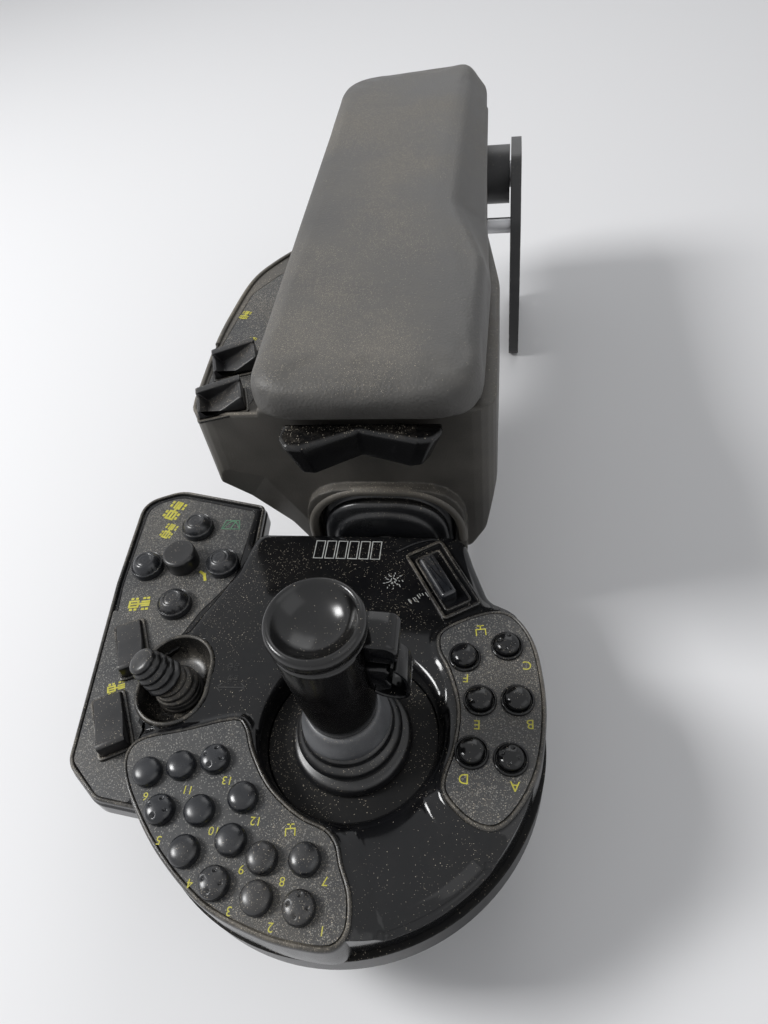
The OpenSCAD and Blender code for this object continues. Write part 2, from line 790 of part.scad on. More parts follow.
module gimbal_ring() {
  color("silver")
    from_stick()
      difference() {
        union() {
          translate([0, 0, pivot_z - 4.5])
            cylinder(h = 9, r = 18);
          along_x(-27, 27, 0, pivot_z, gimbal_pin_d);
        }
        translate([0, 0, pivot_z - 12])
          cylinder(h = 24, r = 13);
        along_y(-30, 30, 0, pivot_z, gimbal_pin_d + 2 * pin_gap);
      }
}

module stick_shaft() {
  color("silver")
    from_stick() {
      translate([0, 0, pivot_z - 10])
        cylinder(h = grip_foot - pivot_z + 30, d = shaft_d);
      along_y(-18, 18, 0, pivot_z, gimbal_pin_d);
    }
}

module stick_collar() {
  color("#8f9296")
    from_stick()
      difference() {
        rotate_extrude()
          polygon([[0, 4.2], [collar_d / 2 - 1, 4.2], [collar_d / 2, 5.2], [collar_d / 2 - 0.6, 8],
            [grip_foot_d / 2 + 1, grip_foot - 1.5], [grip_foot_d / 2, grip_foot - 0.3],
            [0, grip_foot - 0.3]]);
        translate([0, 0, -1])
          cylinder(h = 40, d = shaft_d + 2 * eps);
      }
}

module stick_grip() {
  color("#0a0a0b")
    from_stick()
      difference() {
        rotate_extrude($fn = 64)
          polygon([[0, grip_foot], [grip_foot_d / 2 - 1, grip_foot],
            [grip_foot_d / 2, grip_foot + 1.5],
            [0.6 * grip_foot_d / 2 + 0.4 * grip_d / 2, grip_foot + 30],
            [grip_d / 2 - 0.4, grip_top - 9], [grip_d / 2, grip_top - 4],
            [grip_d / 2 - 0.4, grip_top - 1.2], [grip_d / 2 - 1.8, grip_top],
            [grip_d / 2 - 3.4, grip_top - 0.6], [grip_d / 2 - 7, grip_top - 2.6],
            [grip_d / 2 - 13, grip_top - 4.2], [0, grip_top - 4.8]]);
        translate([0, 0, 0])
          cylinder(h = grip_foot + 28 + 2 * eps, d = shaft_d + 2 * eps);
        block(grip_d / 2 - 4, 40, -40, 40, 22, 76);
      }
}

module thumb_block() {
  color("#0d0d0d")
    from_stick()
      translate([grip_d / 2 - 4 + eps, 0, 0])
        front_plate(-9, 12, rounded([[0, 51, 1], [14, 50, 3], [16, 60, 6], [13, 71, 4],
          [0, 73, 1]]));
}

module thumb_rocker() {
  color("#0d0d0d")
    from_stick()
      translate([grip_d / 2 - 4 + eps, 0, 0])
        front_plate(-12, 9, rounded([[0, 27, 1], [13, 26, 3], [18, 30, 3], [14, 37, 4],
          [18, 45, 3], [14, 48.5, 3], [0, 48, 1]]));
}

module stick_boot() {
  color("#121212")
    from_stick() {
      b = boot_d / 2;
      rotate_extrude($fn = 64)
        polygon([[8, -well_depth + eps], [b, -well_depth + eps], [b + 0.8, -14], [b - 2.5, -12],
          [b, -9.5], [b - 3.2, -7], [b - 0.6, -4.5], [b - 4, -2], [b - 1.5, 0.5],
          [b - 4.5, 3], [b - 5, 4], [8, 4]]);
    }
}

module mini_base() {
  color("#121212")
    from_stick()
      translate([mini_x, mini_y, mini_z])
        difference() {
          union() {
            cylinder(h = 2, r = mini_scoop_r - 6.5);
            for (s = [-1, 1])
              block(min(s * 7, s * 9), max(s * 7, s * 9), -2.5, 2.5, 2 - eps, 6.9);
          }
          along_x(-12, 12, 0, 5, 2 + 2 * pin_gap);
          translate([0, 0, -1])
            cylinder(h = 5, r = 4);
        }
}

module mini_ring() {
  color("silver")
    from_stick()
      translate([mini_x, mini_y, mini_z + 5])
        difference() {
          union() {
            translate([0, 0, -1.6])
              cylinder(h = 3.2, r = 6);
            along_x(-9, 9, 0, 0, 2);
          }
          translate([0, 0, -3])
            cylinder(h = 6, r = 3.8);
          along_y(-12, 12, 0, 0, 2 + 2 * pin_gap);
        }
}

module mini_stick() {
  color("silver")
    from_stick()
      translate([mini_x, mini_y, mini_z + 5]) {
        along_y(-6, 6, 0, 0, 2);
        rotate([0, -mini_lean, 0])
          translate([0, 0, -1.5])
            cylinder(h = 18, d = 3.6);
      }
}

module mini_knob() {
  color("#141414")
    from_stick()
      translate([mini_x, mini_y, mini_z + 5])
        rotate([0, -mini_lean, 0])
          difference() {
            rotate_extrude()
              polygon(concat([[0, 7.6], [mini_d / 2 - 4.5, 7.6]],
                [for (i = [0:3]) each [[(mini_d / 2) * (1 - 0.07 * i), 9 + 4.6 * i],
                  [(mini_d / 2) * (1 - 0.07 * i), 11 + 4.6 * i],
                  [(mini_d / 2) * (1 - 0.07 * i) - 1.9, 12.1 + 4.6 * i],
                  [(mini_d / 2) * (1 - 0.07 * i) - 2.1, 12.7 + 4.6 * i]]],
                [[mini_d / 2 - 3.4, mini_h], [mini_d / 2 - 4.2, mini_h + 1.2],
                  [mini_d / 2 - 6.5, mini_h + 1.8], [0, mini_h + 1.9]]));
            cylinder(h = 16.6, d = 3.6 + 2 * eps);
          }
}

seat_bracket();
fold_pin();
stop_pin();
arm_frame();
housing();
neck_pin();
pad_plate();
arm_pad();
side_fascia();
side_rockers();
cable_gland();
release_lever();
pod_upper();
pod_lower();
neck_tube();
neck_bellows();
left_wing();
wing_fascia();
left_fascia();
right_fascia();
main_keys();
right_keys();
wing_buttons();
wing_knob();
wing_rockers();
top_rocker();
gimbal_base();
gimbal_ring();
stick_shaft();
stick_collar();
stick_grip();
thumb_rocker();
thumb_block();
stick_boot();
mini_base();
mini_ring();
mini_stick();
mini_knob();
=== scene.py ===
import bpy, bmesh, json, math
import numpy as np
from mathutils import Matrix, Vector

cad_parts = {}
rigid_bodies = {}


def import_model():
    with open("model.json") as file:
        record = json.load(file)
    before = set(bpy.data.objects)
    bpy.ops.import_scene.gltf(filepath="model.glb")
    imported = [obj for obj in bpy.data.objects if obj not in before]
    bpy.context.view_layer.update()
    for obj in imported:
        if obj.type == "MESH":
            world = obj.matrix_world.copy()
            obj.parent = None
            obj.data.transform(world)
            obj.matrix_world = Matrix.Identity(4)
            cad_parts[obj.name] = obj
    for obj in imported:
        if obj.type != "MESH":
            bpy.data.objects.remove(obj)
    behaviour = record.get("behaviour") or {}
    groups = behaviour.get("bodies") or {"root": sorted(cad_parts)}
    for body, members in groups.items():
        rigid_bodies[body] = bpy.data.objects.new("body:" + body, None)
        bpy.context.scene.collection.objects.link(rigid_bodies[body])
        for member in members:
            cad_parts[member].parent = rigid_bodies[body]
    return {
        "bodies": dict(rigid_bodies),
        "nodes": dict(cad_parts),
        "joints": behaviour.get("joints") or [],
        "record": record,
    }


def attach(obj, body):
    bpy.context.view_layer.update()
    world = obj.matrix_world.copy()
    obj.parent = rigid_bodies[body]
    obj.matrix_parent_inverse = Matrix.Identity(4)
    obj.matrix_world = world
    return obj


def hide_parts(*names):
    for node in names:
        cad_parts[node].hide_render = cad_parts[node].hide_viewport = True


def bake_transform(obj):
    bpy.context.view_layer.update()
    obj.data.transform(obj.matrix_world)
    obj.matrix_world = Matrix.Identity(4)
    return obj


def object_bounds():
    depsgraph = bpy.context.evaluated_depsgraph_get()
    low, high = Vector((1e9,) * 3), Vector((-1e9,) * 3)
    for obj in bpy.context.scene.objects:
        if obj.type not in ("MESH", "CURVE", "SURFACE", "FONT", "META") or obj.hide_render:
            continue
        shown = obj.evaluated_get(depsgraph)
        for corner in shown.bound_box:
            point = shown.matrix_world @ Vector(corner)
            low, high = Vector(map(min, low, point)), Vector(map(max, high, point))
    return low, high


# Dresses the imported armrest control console. Piece sizes are in millimetres, measured from
# the joystick axis on the keypad plane: +X towards the seat, -Y forward, +Z up.

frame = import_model()
cadLow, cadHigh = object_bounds()
nodes = frame["nodes"]
stickAxis = Vector((-80.0, -440.0, 60.0))
print("frame loaded:", len(nodes), "nodes")


# Scene objects, and the camera at the angle of the photo
cameraSettings = {
    "place": (-0.0099, -0.5856, 0.380),
    "right": (0.98719508, 0.11217073, -0.11341781),
    "up": (-0.01157623, 0.75950717, 0.65039592),
    "forward": (-0.15909702, 0.6407547, -0.75108026),
    "lens": 26.31, "sensor": 36, "near": 0.01,
}


def sceneObject(name, data):
    thing = bpy.data.objects.new(name, data)
    bpy.context.scene.collection.objects.link(thing)
    return thing


def makeCamera(settings):
    data = bpy.data.cameras.new("photoCamera")
    data.lens, data.sensor_width = settings["lens"], settings["sensor"]
    data.clip_start = settings["near"]
    camera = sceneObject("photoCamera", data)
    right, up, forward = (Vector(settings[k]) for k in ("right", "up", "forward"))
    turn = Matrix((right, up, -forward)).transposed().to_4x4()
    camera.matrix_world = Matrix.Translation(settings["place"]) @ turn
    bpy.context.scene.camera = camera


makeCamera(cameraSettings)


# Small helpers for meshes
def toFrame(points):
    return (np.asarray(points, float) + np.array(stickAxis)) / 1000


def wrapLattice(rows, columns, closeRows=False):
    # quads over rows of points that each close on themselves
    faces = []
    last = rows if closeRows else rows - 1
    for i in range(last):
        for j in range(columns):
            a, b = i * columns + j, i * columns + (j + 1) % columns
            c, d = ((i + 1) % rows) * columns + (j + 1) % columns, ((i + 1) % rows) * columns + j
            faces.append((a, b, c, d))
    return faces


def meshFrom(name, points, faces, merge=0.00002, recalculate=True):
    mesh = bpy.data.meshes.new(name)
    mesh.from_pydata([tuple(p) for p in toFrame(points)], [], faces)
    work = bmesh.new()
    work.from_mesh(mesh)
    bmesh.ops.remove_doubles(work, verts=work.verts, dist=merge)
    if recalculate:
        bmesh.ops.recalc_face_normals(work, faces=work.faces)
    work.to_mesh(mesh)
    work.free()
    return mesh


def evaluatedMesh(thing):
    bpy.context.view_layer.update()
    seen = thing.evaluated_get(bpy.context.evaluated_depsgraph_get())
    return bpy.data.meshes.new_from_object(seen)


def shadeByAngle(mesh, degrees=38):
    mesh.polygons.foreach_set("use_smooth", [True] * len(mesh.polygons))
    mesh.set_sharp_from_angle(angle=math.radians(degrees))


def addPiece(name, mesh, material, body=None, angle=38):
    shadeByAngle(mesh, angle)
    mesh.materials.clear()
    mesh.materials.append(material)
    piece = sceneObject(name, mesh)
    if body:
        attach(piece, body)
    return piece


def loft(rings, capLow=True, capHigh=True, closeRows=False):
    # rings run upwards, each counter-clockwise seen from above
    count = len(rings[0])
    points = np.concatenate(rings)
    faces = wrapLattice(len(rings), count, closeRows)
    if not closeRows:
        if capLow:
            faces.append(tuple(range(count))[::-1])
        if capHigh:
            faces.append(tuple(range((len(rings) - 1) * count, len(rings) * count)))
    return points, faces


def lathe(profile, centre=(0, 0, 0), count=64, closed=False):
    # profile of (radius, height) about +Z; ends on the axis are welded
    angles = np.arange(count) * 2 * math.pi / count
    rings = [np.stack([centre[0] + r * np.cos(angles), centre[1] + r * np.sin(angles),
                       np.full(count, centre[2] + z)], 1) for r, z in profile]
    low, high = profile[0][0] > 0, profile[-1][0] > 0
    return loft(rings, low, high, closed)


def turned(points, centre, axis, degrees):
    turn = Matrix.Rotation(math.radians(degrees), 3, axis)
    c = np.asarray(centre, float)
    return (np.asarray(points) - c) @ np.array(turn).T + c


def joined(parts):
    points, faces, shift = [], [], 0
    for p, f in parts:
        points.append(np.asarray(p, float))
        faces += [tuple(i + shift for i in q) for q in f]
        shift += len(p)
    return np.concatenate(points), faces


def splinePoint(a, b, c, d, t):
    # between b and c, with a and d as the neighbours
    return 0.5 * (2 * b + (c - a) * t + (2 * a - 5 * b + 4 * c - d) * t ** 2
                  + (3 * b - a - 3 * c + d) * t ** 3)


def smoothOutline(points, steps=6):
    p = np.array(points, float)
    corners = np.roll(p, 1, 0), p, np.roll(p, -1, 0), np.roll(p, -2, 0)
    out = [splinePoint(*corners, k / steps) for k in range(steps)]
    return np.stack(out, 1).reshape(-1, 2)


def roundedOutline(points, steps=8):
    # corners given as x, y, radius
    out = []
    for i, (x, y, r) in enumerate(points):
        a, c = np.array(points[i - 1][:2], float), np.array(points[(i + 1) % len(points)][:2], float)
        b = np.array([x, y], float)
        u, v = (a - b) / np.linalg.norm(a - b), (c - b) / np.linalg.norm(c - b)
        half = math.acos(max(-1, min(1, float(u @ v)))) / 2
        t = min(r / math.tan(half), np.linalg.norm(a - b) / 2, np.linalg.norm(c - b) / 2)
        for k in range(steps + 1):
            s = k / steps
            out.append((1 - s) ** 2 * (b + u * t) + 2 * s * (1 - s) * b + s * s * (b + v * t))
    return np.array(out)


def evenOutline(outline, spacing):
    # same closed outline with evenly spaced points
    closed = np.vstack([outline, outline[:1]])
    steps = np.linalg.norm(np.diff(closed, axis=0), axis=1)
    along = np.concatenate([[0], np.cumsum(steps)])
    count = max(12, int(round(along[-1] / spacing)))
    places = np.arange(count) * along[-1] / count
    return np.stack([np.interp(places, along, closed[:, k]) for k in (0, 1)], 1)


def insetOutline(outline, distance):
    t = np.roll(outline, -1, 0) - np.roll(outline, 1, 0)
    t /= np.linalg.norm(t, axis=1)[:, None]
    return outline + distance * np.stack([-t[:, 1], t[:, 0]], 1)


def levelRing(flat, z):
    return np.column_stack([flat, np.full(len(flat), z)])


def ringAt(outline, inset, z):
    return levelRing(insetOutline(outline, inset), z)


def distanceInside(points, outline):
    # above zero inside the outline
    a, b = outline, np.roll(outline, -1, 0)
    best = np.full(len(points), 1e9)
    crossings = np.zeros(len(points), int)
    for p, q in zip(a, b):
        d = q - p
        t = np.clip(((points - p) @ d) / max(d @ d, 1e-12), 0, 1)
        best = np.minimum(best, np.linalg.norm(points - p - t[:, None] * d, axis=1))
        spans = (p[1] > points[:, 1]) != (q[1] > points[:, 1])
        slope = d[0] / (d[1] if abs(d[1]) > 1e-12 else 1e-12)
        crossings += spans & (points[:, 0] < p[0] + (points[:, 1] - p[1]) * slope)
    return np.where(crossings % 2 == 1, best, -best)


def softMax(a, b, width):
    h = np.clip(0.5 + 0.5 * (a - b) / width, 0, 1)
    return b + (a - b) * h + width * h * (1 - h)


def tubeAlong(path, radius, sides=12):
    # closed tube along a path of points, ends capped
    path = np.asarray(path, float)
    rings = []
    for i, p in enumerate(path):
        t = path[min(i + 1, len(path) - 1)] - path[max(i - 1, 0)]
        t /= np.linalg.norm(t)
        u = np.cross(t, (0, 1, 0.001))
        u /= np.linalg.norm(u)
        v = np.cross(t, u)
        a = np.arange(sides) * 2 * math.pi / sides
        rings.append(p + radius * (np.cos(a)[:, None] * u + np.sin(a)[:, None] * v))
    return loft(rings)


def curveThrough(points, steps=6):
    p = np.array(points, float)
    p = np.vstack([2 * p[0] - p[1], p, 2 * p[-1] - p[-2]])
    out = [splinePoint(*p[i - 1:i + 3], k / steps)
           for i in range(1, len(p) - 2) for k in range(steps)]
    return np.array(out + [p[-2]])


def refine(profile, step=0.7):
    # closed profile with evenly spaced points
    p = np.array(list(profile) + [profile[0]], float)
    lengths = np.linalg.norm(np.diff(p, axis=0), axis=1)
    along = np.concatenate([[0], np.cumsum(lengths)])
    places = np.linspace(0, along[-1], max(24, int(along[-1] / step)), endpoint=False)
    return [(np.interp(s, along, p[:, 0]), np.interp(s, along, p[:, 1])) for s in places]


def boxOutline(length, width, radius, steps=5):
    # rounded rectangle about the origin
    return roundedOutline([(a * length / 2, b * width / 2, radius)
                           for a, b in ((-1, -1), (1, -1), (1, 1), (-1, 1))], steps)


def placed(part, x, y, z, turn):
    points, faces = part
    a = math.radians(turn)
    spin = np.array([[math.cos(a), -math.sin(a), 0], [math.sin(a), math.cos(a), 0], [0, 0, 1]])
    return points @ spin.T + np.array([x, y, z]), faces


def boxPart(low, high):
    x0, y0, z0 = low
    x1, y1, z1 = high
    points = [(x0, y0, z0), (x1, y0, z0), (x1, y1, z0), (x0, y1, z0),
              (x0, y0, z1), (x1, y0, z1), (x1, y1, z1), (x0, y1, z1)]
    faces = [(0, 3, 2, 1), (4, 5, 6, 7), (0, 1, 5, 4), (1, 2, 6, 5), (2, 3, 7, 6), (3, 0, 4, 7)]
    return np.array(points, float), faces


def prismPart(shape, low, high):
    # shape in X and Z, pulled along Y
    n = len(shape)
    points = [(x, low, z) for x, z in shape] + [(x, high, z) for x, z in shape]
    faces = [tuple(range(n)), tuple(range(2 * n - 1, n - 1, -1))]
    faces += [(i, i + n, (i + 1) % n + n, (i + 1) % n) for i in range(n)]
    return np.array(points, float), faces


def bevelEdges(mesh, width, segments, degrees=30):
    # real rounding on the sharp edges, width in millimetres
    work = bmesh.new()
    work.from_mesh(mesh)
    edges = [e for e in work.edges if len(e.link_faces) == 2
             and e.calc_face_angle(0) > math.radians(degrees)]
    bmesh.ops.bevel(work, geom=edges, offset=width / 1000, segments=segments, affect="EDGES",
                    profile=0.5, clamp_overlap=True)
    work.to_mesh(mesh)
    work.free()


# Shader node groups shared by the finishes
def startGroup(name, inputs, outputs):
    group = bpy.data.node_groups.new(name, "ShaderNodeTree")
    for label, value in inputs.items():
        socket = group.interface.new_socket(label, in_out="INPUT", socket_type="NodeSocketFloat")
        socket.default_value = value
    for label, kind in outputs.items():
        group.interface.new_socket(label, in_out="OUTPUT", socket_type=kind)
    return group, group.nodes.new("NodeGroupInput"), group.nodes.new("NodeGroupOutput")


def addNode(tree, kind, values=None, **settings):
    node = tree.nodes.new(kind)
    for key, value in settings.items():
        setattr(node, key, value)
    for key, value in (values or {}).items():
        node.inputs[key].default_value = value
    return node


def feed(tree, socket, value):
    # a number sets the socket, an output is linked to it
    if isinstance(value, (int, float)):
        socket.default_value = value
    else:
        tree.links.new(value, socket)


def mathNode(tree, operation, a, b=None, clamp=False):
    node = addNode(tree, "ShaderNodeMath", operation=operation, use_clamp=clamp)
    feed(tree, node.inputs[0], a)
    if b is not None:
        feed(tree, node.inputs[1], b)
    return node.outputs[0]


def product(tree, first, *others):
    for value in others:
        first = mathNode(tree, "MULTIPLY", first, value)
    return first


def rangeNode(tree, value, low, high, toLow=0.0, toHigh=1.0):
    node = addNode(tree, "ShaderNodeMapRange", interpolation_type="SMOOTHSTEP")
    tree.links.new(value, node.inputs["Value"])
    for key, item in (("From Min", low), ("From Max", high), ("To Min", toLow), ("To Max", toHigh)):
        feed(tree, node.inputs[key], item)
    return node.outputs[0]


def noiseNode(tree, coordinate, scale, detail=3.0, roughness=0.55):
    node = addNode(tree, "ShaderNodeTexNoise", {"Detail": detail, "Roughness": roughness})
    tree.links.new(coordinate, node.inputs["Vector"])
    feed(tree, node.inputs["Scale"], scale)
    return node.outputs["Fac"]


# ranges are low, high and, where it isn't 0 to 1, the result's low and high;
# grains are zoom, amount, smallest and largest size
dustShape = {"lookUp": (0.1, 0.85), "patches": (0.38, 0.7, 0.05, 2.1), "strength": (0.35, 1.0),
             "coarse": (1.0, 0.25, 0.12, 0.26), "fine": (2.1, 1.0, 0.14, 0.34),
             "cloud": (0.4, 0.72), "cloudShares": (0.6, 0.4), "cloudScale": 220.0}
rubAndSheenShape = {"bend": (0.02, 0.22), "patches": (0.42, 0.66)}


def makeDustGroup():
    # settled dust: round specks and a thin film on faces that look up
    group, start, end = startGroup("settledDust", {"Speck Scale": 700.0, "Speck Share": 0.2,
                                                   "Film Share": 0.4, "Drift Scale": 16.0},
                                   {"Specks": "NodeSocketFloat", "Film": "NodeSocketFloat"})
    place = addNode(group, "ShaderNodeTexCoord")
    drift = noiseNode(group, place.outputs["Object"], start.outputs["Drift Scale"], detail=4.0)
    split = addNode(group, "ShaderNodeSeparateXYZ")
    group.links.new(place.outputs["Normal"], split.inputs[0])
    lookUp = rangeNode(group, split.outputs["Z"], *dustShape["lookUp"])
    share = product(group, start.outputs["Speck Share"],
                    rangeNode(group, drift, *dustShape["patches"]))

    def grains(zoom, amount, low, high):
        cells = addNode(group, "ShaderNodeTexVoronoi", {"Randomness": 1.0})
        group.links.new(place.outputs["Object"], cells.inputs["Vector"])
        group.links.new(product(group, start.outputs["Speck Scale"], zoom), cells.inputs["Scale"])
        colour = addNode(group, "ShaderNodeSeparateColor")
        group.links.new(cells.outputs["Color"], colour.inputs[0])
        chosen = mathNode(group, "LESS_THAN", colour.outputs["Red"], product(group, share, amount))
        size = rangeNode(group, colour.outputs["Green"], 0.0, 1.0, low, high)
        disc = mathNode(group, "LESS_THAN", cells.outputs["Distance"], size)
        strength = rangeNode(group, colour.outputs["Blue"], 0.0, 1.0, *dustShape["strength"])
        return product(group, chosen, disc, strength)

    both = mathNode(group, "MAXIMUM", grains(*dustShape["coarse"]), grains(*dustShape["fine"]))
    specks = product(group, both, lookUp)
    fine = noiseNode(group, place.outputs["Object"], dustShape["cloudScale"], detail=6.0,
                     roughness=0.7)
    wide, small = (product(group, noise, part) for noise, part
                   in zip((drift, fine), dustShape["cloudShares"]))
    cloud = rangeNode(group, mathNode(group, "ADD", wide, small), *dustShape["cloud"])
    film = product(group, cloud, lookUp, start.outputs["Film Share"])
    group.links.new(specks, end.inputs["Specks"])
    group.links.new(film, end.inputs["Film"])
    return group


def makeEdgeGroup():
    # rounds the shading over sharp edges and finds where they rub bare; on the pale rim and bead
    # finishes the same edge mask carries a painted highlight
    group, start, end = startGroup("edgeRubAndSheen", {"Radius": 0.0008, "Rub Scale": 160.0},
                                   {"Normal": "NodeSocketVector", "RubAndSheen": "NodeSocketFloat"})
    bevel = addNode(group, "ShaderNodeBevel", samples=4)
    group.links.new(start.outputs["Radius"], bevel.inputs["Radius"])
    surface = addNode(group, "ShaderNodeNewGeometry")
    dot = addNode(group, "ShaderNodeVectorMath", operation="DOT_PRODUCT")
    group.links.new(bevel.outputs["Normal"], dot.inputs[0])
    group.links.new(surface.outputs["Normal"], dot.inputs[1])
    place = addNode(group, "ShaderNodeTexCoord")
    patch = noiseNode(group, place.outputs["Object"], start.outputs["Rub Scale"], detail=5.0,
                      roughness=0.65)
    bend = rangeNode(group, mathNode(group, "SUBTRACT", 1.0, dot.outputs["Value"]),
                     *rubAndSheenShape["bend"])
    rubAndSheen = product(group, bend, rangeNode(group, patch, *rubAndSheenShape["patches"]))
    group.links.new(bevel.outputs["Normal"], end.inputs["Normal"])
    group.links.new(rubAndSheen, end.inputs["RubAndSheen"])
    return group


def makeGrainGroup():
    # fine moulded grain: pebbles over a soft noise
    group, start, end = startGroup("mouldGrain", {"Pebble Scale": 900.0, "Noise Scale": 1400.0,
                                                  "Pebble Share": 0.5},
                                   {"Height": "NodeSocketFloat", "Fleck": "NodeSocketFloat"})
    place = addNode(group, "ShaderNodeTexCoord")
    pebbles = addNode(group, "ShaderNodeTexVoronoi", {"Randomness": 1.0}, feature="SMOOTH_F1")
    group.links.new(place.outputs["Object"], pebbles.inputs["Vector"])
    group.links.new(start.outputs["Pebble Scale"], pebbles.inputs["Scale"])
    noise = noiseNode(group, place.outputs["Object"], start.outputs["Noise Scale"])
    share = start.outputs["Pebble Share"]
    mixed = mathNode(group, "ADD", product(group, pebbles.outputs["Distance"], share),
                     product(group, noise, mathNode(group, "SUBTRACT", 1.0, share)))
    colour = addNode(group, "ShaderNodeSeparateColor")
    group.links.new(pebbles.outputs["Color"], colour.inputs[0])
    group.links.new(mixed, end.inputs["Height"])
    group.links.new(colour.outputs["Blue"], end.inputs["Fleck"])
    return group


dustGroup, edgeGroup, grainGroup = makeDustGroup(), makeEdgeGroup(), makeGrainGroup()
dustColour = (0.30, 0.265, 0.215, 1)
grainColour = (0.46, 0.41, 0.33, 1)

